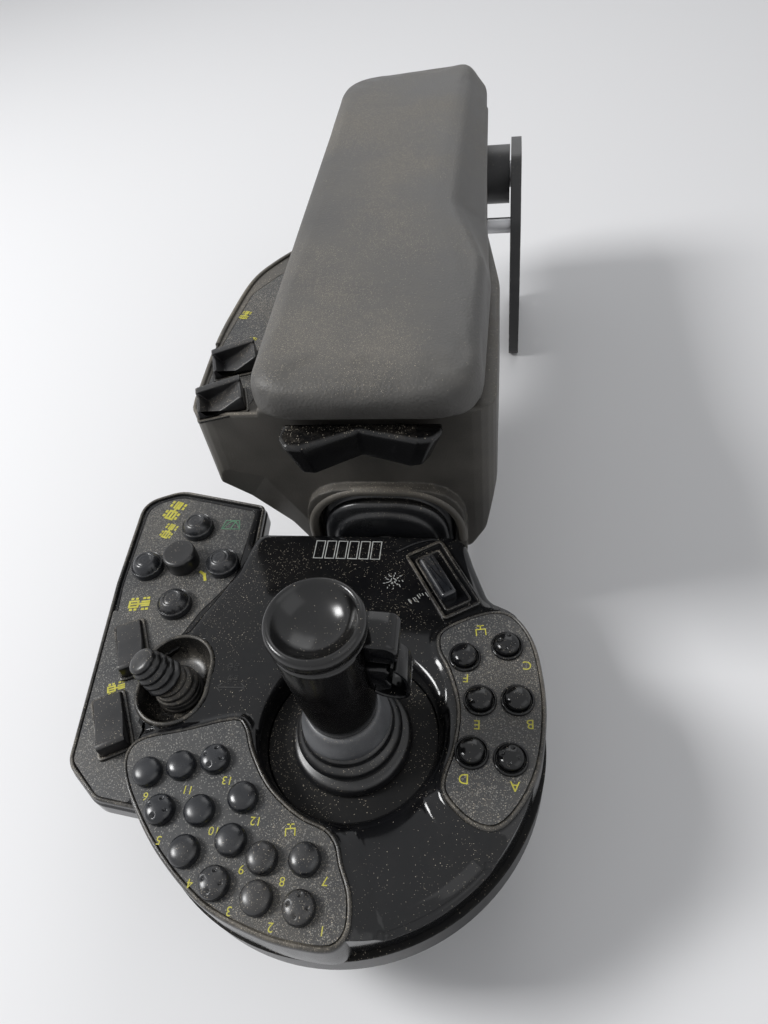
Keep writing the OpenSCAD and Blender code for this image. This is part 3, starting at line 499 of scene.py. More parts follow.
plasticLook = {"mottle": 19, "rough": (0.42, 0.58), "grain": (1100, 1900, 0.6),
               "depth": 0.0003, "edge": 0.0018}
glossLook = {"grain": (300, 500, 0.2), "bump": 0.02, "depth": 0.0001, "film": 0.04,
             "edge": 0.0009}
rubberLook = {"grain": (1200, 1900, 0.5), "depth": 0.0001, "edge": 0.0}
printLook = {"rough": (0.45, 0.6), "grain": (2300, 2600, 0.8), "bump": 0.1, "depth": 0.0001,
             "mottle": 300, "specks": (900, 0.2), "film": 0.1, "edge": 0.0}
finishes = {
    "padSkin": {"dark": (0.052, 0.050, 0.047), "light": (0.094, 0.090, 0.083), "mottle": 17,
                "rough": (0.46, 0.64), "grain": (760, 1500, 0.6), "bump": 0.6, "depth": 0.0005,
                "specks": (1000, 0.55), "film": 0.26, "rubAndSheen": (0.13, 0.115, 0.1), "edge": 0.0},
    "housingPlastic": dict(plasticLook, dark=(0.046, 0.043, 0.038), light=(0.080, 0.074, 0.065),
                           bump=0.34, specks=(760, 0.26), film=0.42, rubAndSheen=(0.17, 0.155, 0.13)),
    # paler copy of the housing plastic for the hood lip and housing bead: real dust, and a lighter
    # tone and edge colour that are a painted highlight on these raised edges
    "dustAndHighlightHousing": dict(plasticLook, dark=(0.062, 0.057, 0.049), light=(0.105, 0.096, 0.082),
                         bump=0.3, specks=(760, 0.5), film=0.95, rubAndSheen=(0.22, 0.2, 0.17)),
    "glossBlack": dict(glossLook, dark=(0.0032, 0.0034, 0.004), light=(0.0054, 0.0056, 0.0066),
                       mottle=12, rough=(0.06, 0.14), specks=(1050, 0.1),
                       rubAndSheen=(0.045, 0.044, 0.043), specular=0.36),
    "gripGloss": dict(glossLook, dark=(0.0034, 0.0034, 0.0036), light=(0.0062, 0.006, 0.006),
                      mottle=40, rough=(0.14, 0.27), specks=(1000, 0.06),
                      rubAndSheen=(0.05, 0.048, 0.046), specular=0.45),
    # raised rims, frames, scoop and wing bead: real dust film and specks, and a pale edge colour
    # along the crests that is a painted highlight
    "dustAndHighlightRim": {"dark": (0.006, 0.006, 0.0065), "light": (0.012, 0.0118, 0.0112), "mottle": 30,
                 "rough": (0.16, 0.3), "grain": (600, 900, 0.3), "bump": 0.04, "depth": 0.0001,
                 "specks": (900, 0.8), "film": 0.85, "rubAndSheen": (0.2, 0.185, 0.155), "edge": 0.0009},
    # gloss black with its reflection cut down: painted shade on the side of the lower shell
    "paintedShadeLowerShell": {"dark": (0.0032, 0.0033, 0.0036), "light": (0.0055, 0.0056, 0.006),
                   "mottle": 14, "rough": (0.26, 0.4), "grain": (500, 900, 0.3), "bump": 0.03,
                   "depth": 0.0001, "specks": (760, 0.3), "film": 0.1,
                   "rubAndSheen": (0.06, 0.058, 0.054), "edge": 0.0012, "specular": 0.16},
    # joystick well floor, much darker than the black steel of its slot: painted shade in the deep
    # well
    "paintedShadeWellFloor": {"dark": (0.003, 0.003, 0.0032), "light": (0.005, 0.005, 0.0052), "mottle": 30,
                  "rough": (0.5, 0.66), "grain": (900, 1500, 0.5), "bump": 0.1, "depth": 0.0002,
                  "specks": (760, 0.34), "film": 0.06, "rubAndSheen": (0.04, 0.04, 0.04), "edge": 0.0009,
                  "specular": 0.2},
    "dustyGloss": {"dark": (0.0035, 0.0036, 0.004), "light": (0.006, 0.006, 0.0066), "mottle": 12,
                   "rough": (0.1, 0.22), "grain": (300, 500, 0.2), "bump": 0.03, "depth": 0.0002,
                   "specks": (560, 1.1), "film": 0.45, "rubAndSheen": (0.05, 0.048, 0.046),
                   "edge": 0.0018, "specular": 0.4},
    "dustyRubber": dict(rubberLook, dark=(0.008, 0.008, 0.0085), light=(0.015, 0.0148, 0.0142),
                        mottle=60, rough=(0.4, 0.55), bump=0.08, specks=(820, 0.7), film=0.95,
                        rubAndSheen=(0.14, 0.13, 0.11)),
    "rockerPlastic": {"dark": (0.008, 0.008, 0.009), "light": (0.014, 0.014, 0.0145),
                      "mottle": 40, "rough": (0.28, 0.42), "grain": (1500, 2000, 0.5),
                      "bump": 0.12, "depth": 0.00015, "specks": (800, 0.22), "film": 0.12,
                      "rubAndSheen": (0.06, 0.058, 0.055), "edge": 0.0007},
    "fasciaFilm": {"dark": (0.021, 0.022, 0.024), "light": (0.037, 0.037, 0.037), "mottle": 30,
                   "rough": (0.38, 0.55), "grain": (1900, 2600, 0.8), "bump": 0.3,
                   "depth": 0.00015, "specks": (980, 0.5), "film": 0.22,
                   "rubAndSheen": (0.1, 0.095, 0.09), "edge": 0.0, "fleck": (0.19, 0.186, 0.172)},
    "keyRubber": {"dark": (0.009, 0.010, 0.0125), "light": (0.018, 0.0195, 0.023), "mottle": 60,
                  "rough": (0.2, 0.32), "grain": (1800, 2400, 0.5), "bump": 0.06,
                  "depth": 0.0001, "specks": (950, 0.2), "film": 0.2,
                  "rubAndSheen": (0.07, 0.07, 0.068), "edge": 0.0005},
    "bootRubber": dict(rubberLook, dark=(0.0055, 0.006, 0.0072), light=(0.0115, 0.012, 0.0135),
                       mottle=35, rough=(0.26, 0.4), bump=0.06, specks=(820, 0.12), film=0.12,
                       rubAndSheen=(0.06, 0.056, 0.05)),
    "blackSteel": {"dark": (0.020, 0.020, 0.021), "light": (0.032, 0.032, 0.033), "mottle": 25,
                   "rough": (0.34, 0.48), "grain": (1000, 1600, 0.6), "bump": 0.18,
                   "depth": 0.0002, "specks": (800, 0.14), "film": 0.14,
                   "rubAndSheen": (0.34, 0.33, 0.32), "edge": 0.0012, "rubMetal": 1.0},
    "bareSteel": {"dark": (0.42, 0.42, 0.43), "light": (0.56, 0.56, 0.57), "mottle": 30,
                  "rough": (0.24, 0.42), "grain": (1600, 2600, 0.3), "bump": 0.06,
                  "depth": 0.0001, "specks": (900, 0.08), "film": 0.12, "rubAndSheen": (0.7, 0.7, 0.7),
                  "edge": 0.0006, "metal": 1.0},
    "greyCollar": {"dark": (0.085, 0.088, 0.094), "light": (0.14, 0.143, 0.15), "mottle": 45,
                   "rough": (0.34, 0.5), "grain": (1500, 2200, 0.5), "bump": 0.1,
                   "depth": 0.0001, "specks": (900, 0.35), "film": 0.2, "rubAndSheen": (0.4, 0.4, 0.4),
                   "edge": 0.0006},
    "yellowPrint": dict(printLook, dark=(0.42, 0.38, 0.035), light=(0.56, 0.52, 0.06),
                        rubAndSheen=(0.5, 0.5, 0.2)),
    "greenPrint": dict(printLook, dark=(0.06, 0.16, 0.10), light=(0.09, 0.22, 0.13),
                       rubAndSheen=(0.2, 0.4, 0.2)),
    "palePrint": dict(printLook, dark=(0.30, 0.31, 0.30), light=(0.46, 0.47, 0.45), mottle=260,
                      rough=(0.4, 0.6), specks=(900, 0.1), film=0.05, rubAndSheen=(0.5, 0.5, 0.5)),
}
# settled dust lightens the colour, roughens the surface and stands a little proud
dustEffect = {"film": 0.55, "rough": 0.45, "bump": 1.5}
finishMix = {"tone": (0.3, 0.7), "rough": (0.3, 0.75), "fleck": (0.66, 0.9), "thinEdge": 0.0003}


def makeFinish(name, look):
    material = bpy.data.materials.new(name)
    material.use_nodes = True
    tree = material.node_tree
    surface = tree.nodes["Principled BSDF"]
    links = tree.links

    def colourMix(factor, a, b):
        mix = addNode(tree, "ShaderNodeMix", data_type="RGBA")
        links.new(factor, mix.inputs["Factor"])
        for socket, value in ((mix.inputs[6], a), (mix.inputs[7], b)):
            if isinstance(value, tuple):
                socket.default_value = (*value[:3], 1)
            else:
                links.new(value, socket)
        return mix.outputs[2]

    place = addNode(tree, "ShaderNodeTexCoord")
    mottle = noiseNode(tree, place.outputs["Object"], look["mottle"], detail=5.0, roughness=0.6)
    tone = colourMix(rangeNode(tree, mottle, *finishMix["tone"]), look["dark"], look["light"])
    grain = addNode(tree, "ShaderNodeGroup", node_tree=grainGroup)
    for key, value in zip(("Pebble Scale", "Noise Scale", "Pebble Share"), look["grain"]):
        grain.inputs[key].default_value = value
    if "fleck" in look:
        flecks = rangeNode(tree, grain.outputs["Fleck"], *finishMix["fleck"])
        tone = colourMix(flecks, tone, look["fleck"])
    dust = addNode(tree, "ShaderNodeGroup", node_tree=dustGroup)
    dust.inputs["Speck Scale"].default_value = look["specks"][0]
    dust.inputs["Speck Share"].default_value = look["specks"][1]
    dust.inputs["Film Share"].default_value = look["film"]
    edge = addNode(tree, "ShaderNodeGroup", node_tree=edgeGroup)
    edge.inputs["Radius"].default_value = look["edge"] or finishMix["thinEdge"]
    # edge colour: bare worn edges on most finishes, and a painted highlight along the crests on the
    # pale rim and bead finishes
    tone = colourMix(edge.outputs["RubAndSheen"], tone, look["rubAndSheen"])
    tone = colourMix(product(tree, dust.outputs["Film"], dustEffect["film"]), tone, dustColour)
    tone = colourMix(dust.outputs["Specks"], tone, grainColour)
    links.new(tone, surface.inputs["Base Color"])
    rough = rangeNode(tree, mottle, *finishMix["rough"], *look["rough"])
    dusty = mathNode(tree, "MAXIMUM", dust.outputs["Film"], dust.outputs["Specks"])
    rough = mathNode(tree, "ADD", rough, product(tree, dusty, dustEffect["rough"]), clamp=True)
    links.new(rough, surface.inputs["Roughness"])
    bump = addNode(tree, "ShaderNodeBump", {"Strength": look["bump"], "Distance": look["depth"]})
    height = mathNode(tree, "ADD", grain.outputs["Height"],
                      product(tree, dust.outputs["Specks"], dustEffect["bump"]))
    links.new(height, bump.inputs["Height"])
    if look["edge"]:
        links.new(edge.outputs["Normal"], bump.inputs["Normal"])
    links.new(bump.outputs["Normal"], surface.inputs["Normal"])
    if "metal" in look:
        surface.inputs["Metallic"].default_value = look["metal"]
    elif "rubMetal" in look:
        links.new(edge.outputs["RubAndSheen"], surface.inputs["Metallic"])
    if "specular" in look:
        surface.inputs["Specular IOR Level"].default_value = look["specular"]
    return material


paint = {name: makeFinish(name, look) for name, look in finishes.items()}


def partPiece(name, part, finish, body=None, angle=38, rounding=None):
    # rounding is the width of the edges in millimetres and its number of segments
    mesh = meshFrom(name, *part)
    if rounding:
        bevelEdges(mesh, *rounding)
    return addPiece(name, mesh, paint[finish], body, angle)


def rubberPiece(name, part, finish="bootRubber", body=None):
    return partPiece(name, part, finish, body, angle=60)


slotFinish = {
    "black_steel": "blackSteel", "bare_steel": "bareSteel", "housing_plastic": "housingPlastic",
    "pad_skin": "padSkin", "gloss_black": "glossBlack", "rocker_plastic": "rockerPlastic",
    "textured_fascia": "fasciaFilm", "key_rubber": "keyRubber", "boot_rubber": "bootRubber",
    "grey_collar": "greyCollar",
}
# gimbal_base and pod_lower get darker copies of their slots' finishes: painted shade in the well and
# on the lower shell
nodeFinish = {"gimbal_base": "paintedShadeWellFloor", "pod_lower": "paintedShadeLowerShell"}
for part in frame["record"]["subparts"]:
    finish = nodeFinish.get(part["node"], slotFinish[part["material_slot"]])
    for entry in nodes[part["node"]].material_slots:
        entry.material = paint[finish]
print("finishes made:", len(paint))


# Floor, world and lamps
studio = {"floorTone": (0.80, 0.80, 0.81), "worldTone": (0.82, 0.83, 0.85), "worldStrength": 0.38,
          "floorHalf": 4, "floorGap": 0.001, "floorRough": 0.8,
          "key": ((-1.5, -0.25, 1.45), 38.0, 0.6), "fill": ((1.5, -0.8, 1.3), 5.0, 1.6),
          "back": ((0.1, 1.6, 1.4), 6.0, 1.2)}


def makeStudio(settings):
    floorMesh = bpy.data.meshes.new("floor")
    half, z = settings["floorHalf"], cadLow.z - settings["floorGap"]
    corners = [(-half, -half, z), (half, -half, z), (half, half, z), (-half, half, z)]
    floorMesh.from_pydata(corners, [], [(0, 1, 2, 3)])
    floor = sceneObject("floor", floorMesh)
    material = bpy.data.materials.new("paleFloor")
    material.use_nodes = True
    surface = material.node_tree.nodes["Principled BSDF"]
    surface.inputs["Base Color"].default_value = (*settings["floorTone"], 1)
    surface.inputs["Roughness"].default_value = settings["floorRough"]
    floorMesh.materials.append(material)
    world = bpy.data.worlds.new("studio")
    bpy.context.scene.world = world
    world.use_nodes = True
    tree = world.node_tree
    background = tree.nodes["Background"]
    background.inputs["Color"].default_value = (*settings["worldTone"], 1)
    path = addNode(tree, "ShaderNodeLightPath")
    seen = mathNode(tree, "MAXIMUM", path.outputs["Is Camera Ray"],
                    mathNode(tree, "MAXIMUM", path.outputs["Is Glossy Ray"],
                             path.outputs["Is Transmission Ray"]))
    strength = mathNode(tree, "ADD", product(tree, seen, 1 - settings["worldStrength"]),
                        settings["worldStrength"])
    tree.links.new(strength, background.inputs["Strength"])
    middle = (cadLow + cadHigh) / 2
    for name in ("key", "fill", "back"):
        place, watts, size = settings[name]
        data = bpy.data.lights.new(name, "AREA")
        data.energy, data.size = watts, size
        lamp = sceneObject(name, data)
        lamp.location = middle + Vector(place)
        lamp.rotation_euler = (-Vector(place)).to_track_quat("-Z", "Y").to_euler()


makeStudio(studio)
bpy.context.scene.view_settings.view_transform = "Standard"


# Pod top: one skin over the well, the round top and the rear deck
podTop = {
    "centre": (-6, 4), "radius": 94, "sideLevels": (-12, -24), "rays": 400, "steps": 34,
    "outside": -60, "deckFoot": -7.5, "deckFall": 6, "softDeck": (-7.6, 4.6), "freeBand": (16, 12),
    "deckBlend": 0.8, "skirtBlend": 0.7, "touch": 0.01, "scoopCut": ([-2, 0.5], [-3, -19]),
    "discRoll": ([0, 0.8, 3, 7, 12, 16], [-20, -15, -11, -8.3, -7.15, -7]),
    "deckRoll": ([0, 0.3, 0.9, 2, 3.6, 6], [-7.5, -6.1, -5.0, -4.0, -3.3, -3]),
    "deckFade": 16,
    "skirt": ([-3, -1.2, 0, 1.5, 4.5, 7.5, 9, 12, 14],
              [-9, -1.6, -1.4, -2.1, -4.6, -6.7, -7.4, -13, -40]),
    "scoopSkirt": ([-1, 2.4, 4, 7, 10, 13], [-9, -3.1, -4, -6, -7.4, -13]),
    "deck": [[50, 5, 4], [72, 40, 12], [78, 60, 6], [62, 74, 10], [54, 95, 20], [48, 114, 12],
             [-70, 114, 9], [-76, 88, 30], [-92, 52, 30], [-101, 30, 4], [-96, -8, 4],
             [-74, -26, 4], [-10, -22, 4]],
    "wellWall": [(41, -24), (41.1, -18), (41.3, -12)],
    "flare": ([41.9, 42.6, 43.4, 44.5, 46, 48, 50], [4.2, 2.9, 1.9, 1.0, 0.4, 0.08, 0]),
    "wellEdge": [42, 42.3, 42.7, 43.2, 43.8, 44.5, 45.3, 46.2, 47.2, 48.4],
    "outerEdge": [16, 14, 12.2, 10.6, 9.2, 8, 6.9, 5.9, 5, 4.2, 3.4, 2.7, 2.1, 1.5, 1, 0.6, 0.3, 0],
}
scoopShape = {
    "centre": (-91.5, 19), "radius": 16.2, "stretch": 6.5, "turn": 9, "longTurn": 84,
    "profile": [(2.8, -22), (2.8, -3.8), (2.6, -2.7), (2.1, -2.1), (1.3, -1.9), (0.6, -2.4),
                (0.1, -4.2), (-0.8, -7.8), (-2.2, -11.4), (-4.2, -13.9), (-7, -14.9),
                (-11, -15.1), (-11, -22)],
}


def scoopOutline(grow, count=56):
    s = scoopShape
    a = np.radians(np.arange(count) * 360 / count + s["turn"])
    long = np.radians(s["turn"] + s["longTurn"])
    side = np.where(np.arange(count) < count / 2, s["stretch"], -s["stretch"])
    return np.stack([s["centre"][0] + (s["radius"] + grow) * np.cos(a) + side * np.cos(long),
                     s["centre"][1] + (s["radius"] + grow) * np.sin(a) + side * np.sin(long)], 1)


def podHeight(flat):
    s = podTop
    fromCentre = np.linalg.norm(flat - np.array(s["centre"]), axis=1)
    disc = np.interp(s["radius"] - fromCentre, *s["discRoll"])
    disc = np.where(fromCentre > s["radius"] + s["touch"], s["outside"], disc)
    inDeck = distanceInside(flat, roundedOutline(s["deck"]))
    sharp = np.where(inDeck < -s["touch"], s["deckFoot"] + inDeck * s["deckFall"],
                     np.interp(inDeck, *s["deckRoll"]))
    share = np.clip(inDeck / s["deckFade"], 0, 1)
    level, rise = s["softDeck"]
    soft = level + rise * share * share * (3 - 2 * share)
    start, width = s["freeBand"]
    free = np.clip((fromCentre - s["radius"] + start) / width, 0, 1)
    z = softMax(disc, soft + (sharp - soft) * free, s["deckBlend"])
    for side in ("left", "right"):
        away = -distanceInside(flat, smoothOutline(islands[side], steps=5))
        z = softMax(z, np.interp(away, *s["skirt"]), s["skirtBlend"])
    inScoop = distanceInside(flat, scoopOutline(0))
    z = softMax(z, np.interp(-inScoop, *s["scoopSkirt"]), s["skirtBlend"])
    z = z - np.interp(np.linalg.norm(flat, axis=1), *s["flare"])
    inside, floor = s["scoopCut"]
    return np.where(inScoop > inside[0], np.minimum(z, np.interp(inScoop, inside, floor)), z)


def outerReach(angle):
    # farthest point of the round top and the deck along a ray from the joystick axis
    s = podTop
    u = np.array([math.cos(angle), math.sin(angle)])
    c = np.array(s["centre"], float)
    reach = u @ c + math.sqrt((u @ c) ** 2 - c @ c + s["radius"] ** 2)
    deck = roundedOutline(s["deck"])
    for p, q in zip(deck, np.roll(deck, -1, 0)):
        d = q - p
        det = u[0] * -d[1] + u[1] * d[0]
        if abs(det) < 1e-9:
            continue
        t = (p[0] * -d[1] + p[1] * d[0]) / det
        k = (u[0] * p[1] - u[1] * p[0]) / det
        if t > 0 and 0 <= k <= 1:
            reach = max(reach, t)
    return reach


def makePodTop():
    s = podTop
    angles = np.arange(s["rays"]) * 2 * math.pi / s["rays"]
    ray = np.stack([np.cos(angles), np.sin(angles)], 1)
    reach = np.array([outerReach(a) for a in angles])
    rings = [levelRing(ray * r, z) for r, z in s["wellWall"]]
    edge, outer = np.array(s["wellEdge"]), np.array(s["outerEdge"])
    steps = s["steps"]
    radii = [np.full(len(ray), r) for r in edge]
    inner, far = edge[-1], reach - outer[0]
    radii += [inner + (far - inner) * k / (steps + 1) for k in range(1, steps + 1)]
    radii += [reach - o for o in outer]
    for r in radii:
        flat = ray * r[:, None]
        rings.append(np.column_stack([flat, podHeight(flat)]))
    for z in s["sideLevels"]:
        low = np.minimum(rings[-1][:, 2], z)
        rings.append(np.column_stack([ray * reach[:, None], low]))
    points, faces = loft(rings, closeRows=True)
    return addPiece("podTop", meshFrom("podTop", points, faces, merge=0.000002),
                    paint["glossBlack"], "pod", angle=50)


islands = {
    "left": [[7, -92.5], [13, -85], [12, -72], [7, -61], [4, -53], [-2, -47], [-15, -42],
             [-30, -31], [-41, -16], [-47, -4], [-55, 0], [-78, -7], [-96, -12], [-102.5, -19],
             [-101, -30], [-90.5, -45.5], [-72.5, -64.5], [-49, -81.5], [-25, -90], [-7, -93]],
    "right": [[58, -42], [69, -43], [79, -33], [87, -15], [90, 8], [89, 28], [85, 47], [77, 60],
              [67, 64], [53, 60], [39, 51], [38, 40], [44, 28], [49, 10], [48, -8], [44, -24],
              [47, -33]],
    "rim": [(0, -23), (0, -3), (0.12, -1.7), (0.4, -0.8), (0.85, -0.15), (1.3, 0.1), (1.75, 0.02),
            (2.1, -0.35), (2.2, -1.05), (3.6, -1.05), (3.6, -23)],
    "spacing": 1.1,
}


def makeIslandRim(name, outline):
    even = evenOutline(smoothOutline(outline, steps=8), islands["spacing"])
    rings = [ringAt(even, inset, z) for inset, z in islands["rim"]]
    partPiece(name, loft(rings, closeRows=True), "dustAndHighlightRim", "pod")


def makeScoop():
    rings = []
    for grow, z in scoopShape["profile"]:
        rings.append(levelRing(scoopOutline(grow, count=72), z))
    partPiece("miniScoop", loft(rings, closeRows=True), "dustAndHighlightRim", "pod")


podSkin = makePodTop()
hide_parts("pod_upper")
makeIslandRim("leftKeypadRim", islands["left"])
makeIslandRim("rightKeypadRim", islands["right"])
makeScoop()
print("pod top made")


# Keys and buttons: one template each, scattered over its places
keys = {
    "plain": [(-88, -30), (-73, -26), (-59, -45), (-41, -38), (-61, -62), (-42, -56), (-27, -62),
              (-9, -61), (-26, -77)],
    "dimpled": [(-58, -22), (-77, -46), (-45, -73), (-8, -79)],
    "rightPlain": [(52, 36), (60, 14), (77, 15), (57, -11)],
    "rightDimpled": [(72, 43), (74, -13)],
    "wing": [(-109, 119), (-131, 90), (-87, 93), (-107, 65)],
    "cap": [(6, 0), (6, 1.7), (5.9, 2.4), (5.65, 3.05), (5.2, 3.65), (4.85, 3.95), (4.5, 4.17),
            (4.15, 4.35), (3.8, 4.49), (3.45, 4.6), (3.1, 4.7), (2.75, 4.78), (2.4, 4.84),
            (1.8, 4.92), (1.2, 4.97), (0.6, 5), (0, 5)],
    "dimples": 4, "dimpleTurn": -12, "dimpleAt": 3.55, "dimpleDeep": 1.15, "dimpleWide": 0.62,
    "dimpleFrom": 1.5, "leftSize": 1.13, "leftLevel": 0.05, "rightLevel": 0.3, "wingLevel": -7.95,
    "knobAt": (-111, 94),
    "scatter": {"Turn Spread": 6.0, "Size Spread": 0.006, "Seed": 11},
    "ring": [(6.4, 0), (7.75, 0), (7.75, 0.9), (7.5, 1.4), (7.1, 1.6), (6.7, 1.45), (6.4, 1)],
    "button": [(9.4, 0), (9.4, 3.1), (9.2, 3.8), (8.85, 4.1), (8.5, 4), (8.3, 3.6), (8.1, 3.9),
               (7.7, 5), (6.9, 6.3), (5.9, 7.3), (5.1, 7.8), (4.7, 7.95), (4.4, 7.8),
               (4.15, 7.55), (3.8, 7.7), (3, 7.95), (1.9, 8.05), (1.5, 7.9), (1.1, 8.05),
               (0, 8.1)],
    "knob": [(9.3, 0), (9.5, 4), (9.5, 8.3), (9.3, 9.3), (8.7, 10), (7.9, 10.3), (7, 10.2),
             (5, 9.9), (2.2, 9.8), (0, 9.8)],
}


def randomFloat(tree, seed, low, high):
    node = addNode(tree, "FunctionNodeRandomValue", data_type="FLOAT")
    ends = [k for k in node.inputs if k.name in ("Min", "Max") and k.type == "VALUE"]
    for value, socket in ((low, ends[0]), (high, ends[1]), (seed, node.inputs["Seed"])):
        tree.links.new(value, socket)
    return [k for k in node.outputs if k.type == "VALUE" and k.enabled][0]


def makeScatterTree():
    tree = bpy.data.node_groups.new("keyScatter", "GeometryNodeTree")
    face = tree.interface
    face.new_socket("Places", in_out="INPUT", socket_type="NodeSocketGeometry")
    face.new_socket("Template", in_out="INPUT", socket_type="NodeSocketObject")
    face.new_socket("Finish", in_out="INPUT", socket_type="NodeSocketMaterial")
    for label, value, low, high in (("Size", 1.0, 0.5, 2.0), ("Turn Spread", 4.0, 0.0, 180.0),
                                    ("Size Spread", 0.01, 0.0, 0.2)):
        socket = face.new_socket(label, in_out="INPUT", socket_type="NodeSocketFloat")
        socket.default_value, socket.min_value, socket.max_value = value, low, high
    face.new_socket("Seed", in_out="INPUT", socket_type="NodeSocketInt").default_value = 7
    face.new_socket("Keys", in_out="OUTPUT", socket_type="NodeSocketGeometry")
    start, end = tree.nodes.new("NodeGroupInput"), tree.nodes.new("NodeGroupOutput")
    template = tree.nodes.new("GeometryNodeObjectInfo")
    place = tree.nodes.new("ShaderNodeCombineXYZ")
    onPoints = tree.nodes.new("GeometryNodeInstanceOnPoints")
    real = tree.nodes.new("GeometryNodeRealizeInstances")
    finish = tree.nodes.new("GeometryNodeSetMaterial")
    size, sizeSpread, seed = (start.outputs[k] for k in ("Size", "Size Spread", "Seed"))
    spread = mathNode(tree, "RADIANS", start.outputs["Turn Spread"])
    turnOut = randomFloat(tree, seed, product(tree, spread, -1.0), spread)
    sizeOut = randomFloat(tree, mathNode(tree, "ADD", seed, 1.0),
                          mathNode(tree, "SUBTRACT", size, sizeSpread),
                          mathNode(tree, "ADD", size, sizeSpread))
    for value, socket in (
            (turnOut, place.inputs["Z"]), (start.outputs["Template"], template.inputs["Object"]),
            (start.outputs["Places"], onPoints.inputs["Points"]),
            (template.outputs["Geometry"], onPoints.inputs["Instance"]),
            (place.outputs[0], onPoints.inputs["Rotation"]), (sizeOut, onPoints.inputs["Scale"]),
            (onPoints.outputs["Instances"], real.inputs[0]),
            (real.outputs[0], finish.inputs["Geometry"]),
            (start.outputs["Finish"], finish.inputs["Material"]),
            (finish.outputs[0], end.inputs[0])):
        tree.links.new(value, socket)
    return tree


scatterTree = makeScatterTree()


def scatter(places, template, material, inputs):
    # template mesh stands about its own foot; the result is one plain mesh
    host = bpy.data.meshes.new("places")
    host.from_pydata([tuple(p) for p in toFrame(places)], [], [])
    carrier, pattern = sceneObject("places", host), sceneObject("template", template)
    modifier = carrier.modifiers.new("scatter", "NODES")
    modifier.node_group = scatterTree
    sockets = {k.name: k.identifier for k in scatterTree.interface.items_tree
               if k.item_type == "SOCKET" and k.in_out == "INPUT"}
    modifier[sockets["Template"]] = pattern
    modifier[sockets["Finish"]] = material
    for label, value in inputs.items():
        modifier[sockets[label]] = value
    result = evaluatedMesh(carrier)
    carrier.modifiers.remove(modifier)
    for thing in (carrier, pattern):
        bpy.data.objects.remove(thing)
    return result


def templateMesh(name, part):
    # millimetres about the foot of the template
    points, faces = part
    return meshFrom(name, points - np.array(stickAxis), faces, merge=0.00001)


def domeCap(dimpled=False):
    s = keys
    points, faces = lathe(s["cap"], count=72)
    if dimpled:
        for k in range(s["dimples"]):
            a = math.radians(360 / s["dimples"] * k + s["dimpleTurn"])
            centre = s["dimpleAt"] * np.array([math.cos(a), math.sin(a)])
            away = np.linalg.norm(points[:, :2] - centre, axis=1)
            domed = points[:, 2] > s["dimpleFrom"]
            points[:, 2] -= s["dimpleDeep"] * np.exp(-(away / s["dimpleWide"]) ** 2) * domed
    return points, faces


plainCap = templateMesh("plainCap", domeCap())
dimpledCap = templateMesh("dimpledCap", domeCap(True))
keyRing = templateMesh("keyRing", lathe(keys["ring"], count=48, closed=True))
wingButton = templateMesh("wingButton", lathe(keys["button"], count=56))


def scatterPiece(name, places, level, template, finish, size=1.0, angle=55):
    inputs = dict(keys["scatter"], Size=size)
    mesh = scatter([(x, y, level) for x, y in places], template, paint[finish], inputs)
    return addPiece(name, mesh, paint[finish], "pod", angle)


mainKeys = scatterPiece("mainKeys", keys["plain"], keys["leftLevel"], plainCap, "keyRubber",
                        keys["leftSize"])
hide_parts("main_keys")
scatterPiece("mainKeysDimpled", keys["dimpled"], keys["leftLevel"], dimpledCap, "keyRubber",
             keys["leftSize"])
rightKeys = scatterPiece("rightKeys", keys["rightPlain"], keys["rightLevel"], plainCap,
                         "glossBlack")
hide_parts("right_keys")
scatterPiece("rightKeysDimpled", keys["rightDimpled"], keys["rightLevel"], dimpledCap,
             "glossBlack")
scatterPiece("rightKeyRings", keys["rightPlain"] + keys["rightDimpled"], keys["leftLevel"],
             keyRing, "glossBlack", angle=50)
wingButtons = scatterPiece("wingButtons", keys["wing"], keys["wingLevel"], wingButton,
                           "keyRubber", angle=50)
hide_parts("wing_buttons")
knobPart = lathe(keys["knob"], (*keys["knobAt"], keys["wingLevel"]), count=64)
wingKnob = partPiece("wingKnob", knobPart, "rockerPlastic", "pod", angle=50)
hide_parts("wing_knob")
print("keys scattered")


# Rockers: bevelled paddles in raised frames
# rounding of a frame's top edges: distance in from the side, distance down from the top
frameEdge = {"outer": ((0, 0.5), (0.15, 0.15), (0.5, 0)), "inner": ((0.4, 0), (0.1, 0.15), (0, 0.5))}


def framePart(length, width, wall, low, high, radius=2.5):
    outer = boxOutline(length, width, radius)
    profile = [(0, low)] + [(inset, high - drop) for inset, drop in frameEdge["outer"]]
    profile += [(wall - inset, high - drop) for inset, drop in frameEdge["inner"]] + [(wall, low)]
    return loft([ringAt(outer, inset, z) for inset, z in profile], closeRows=True)


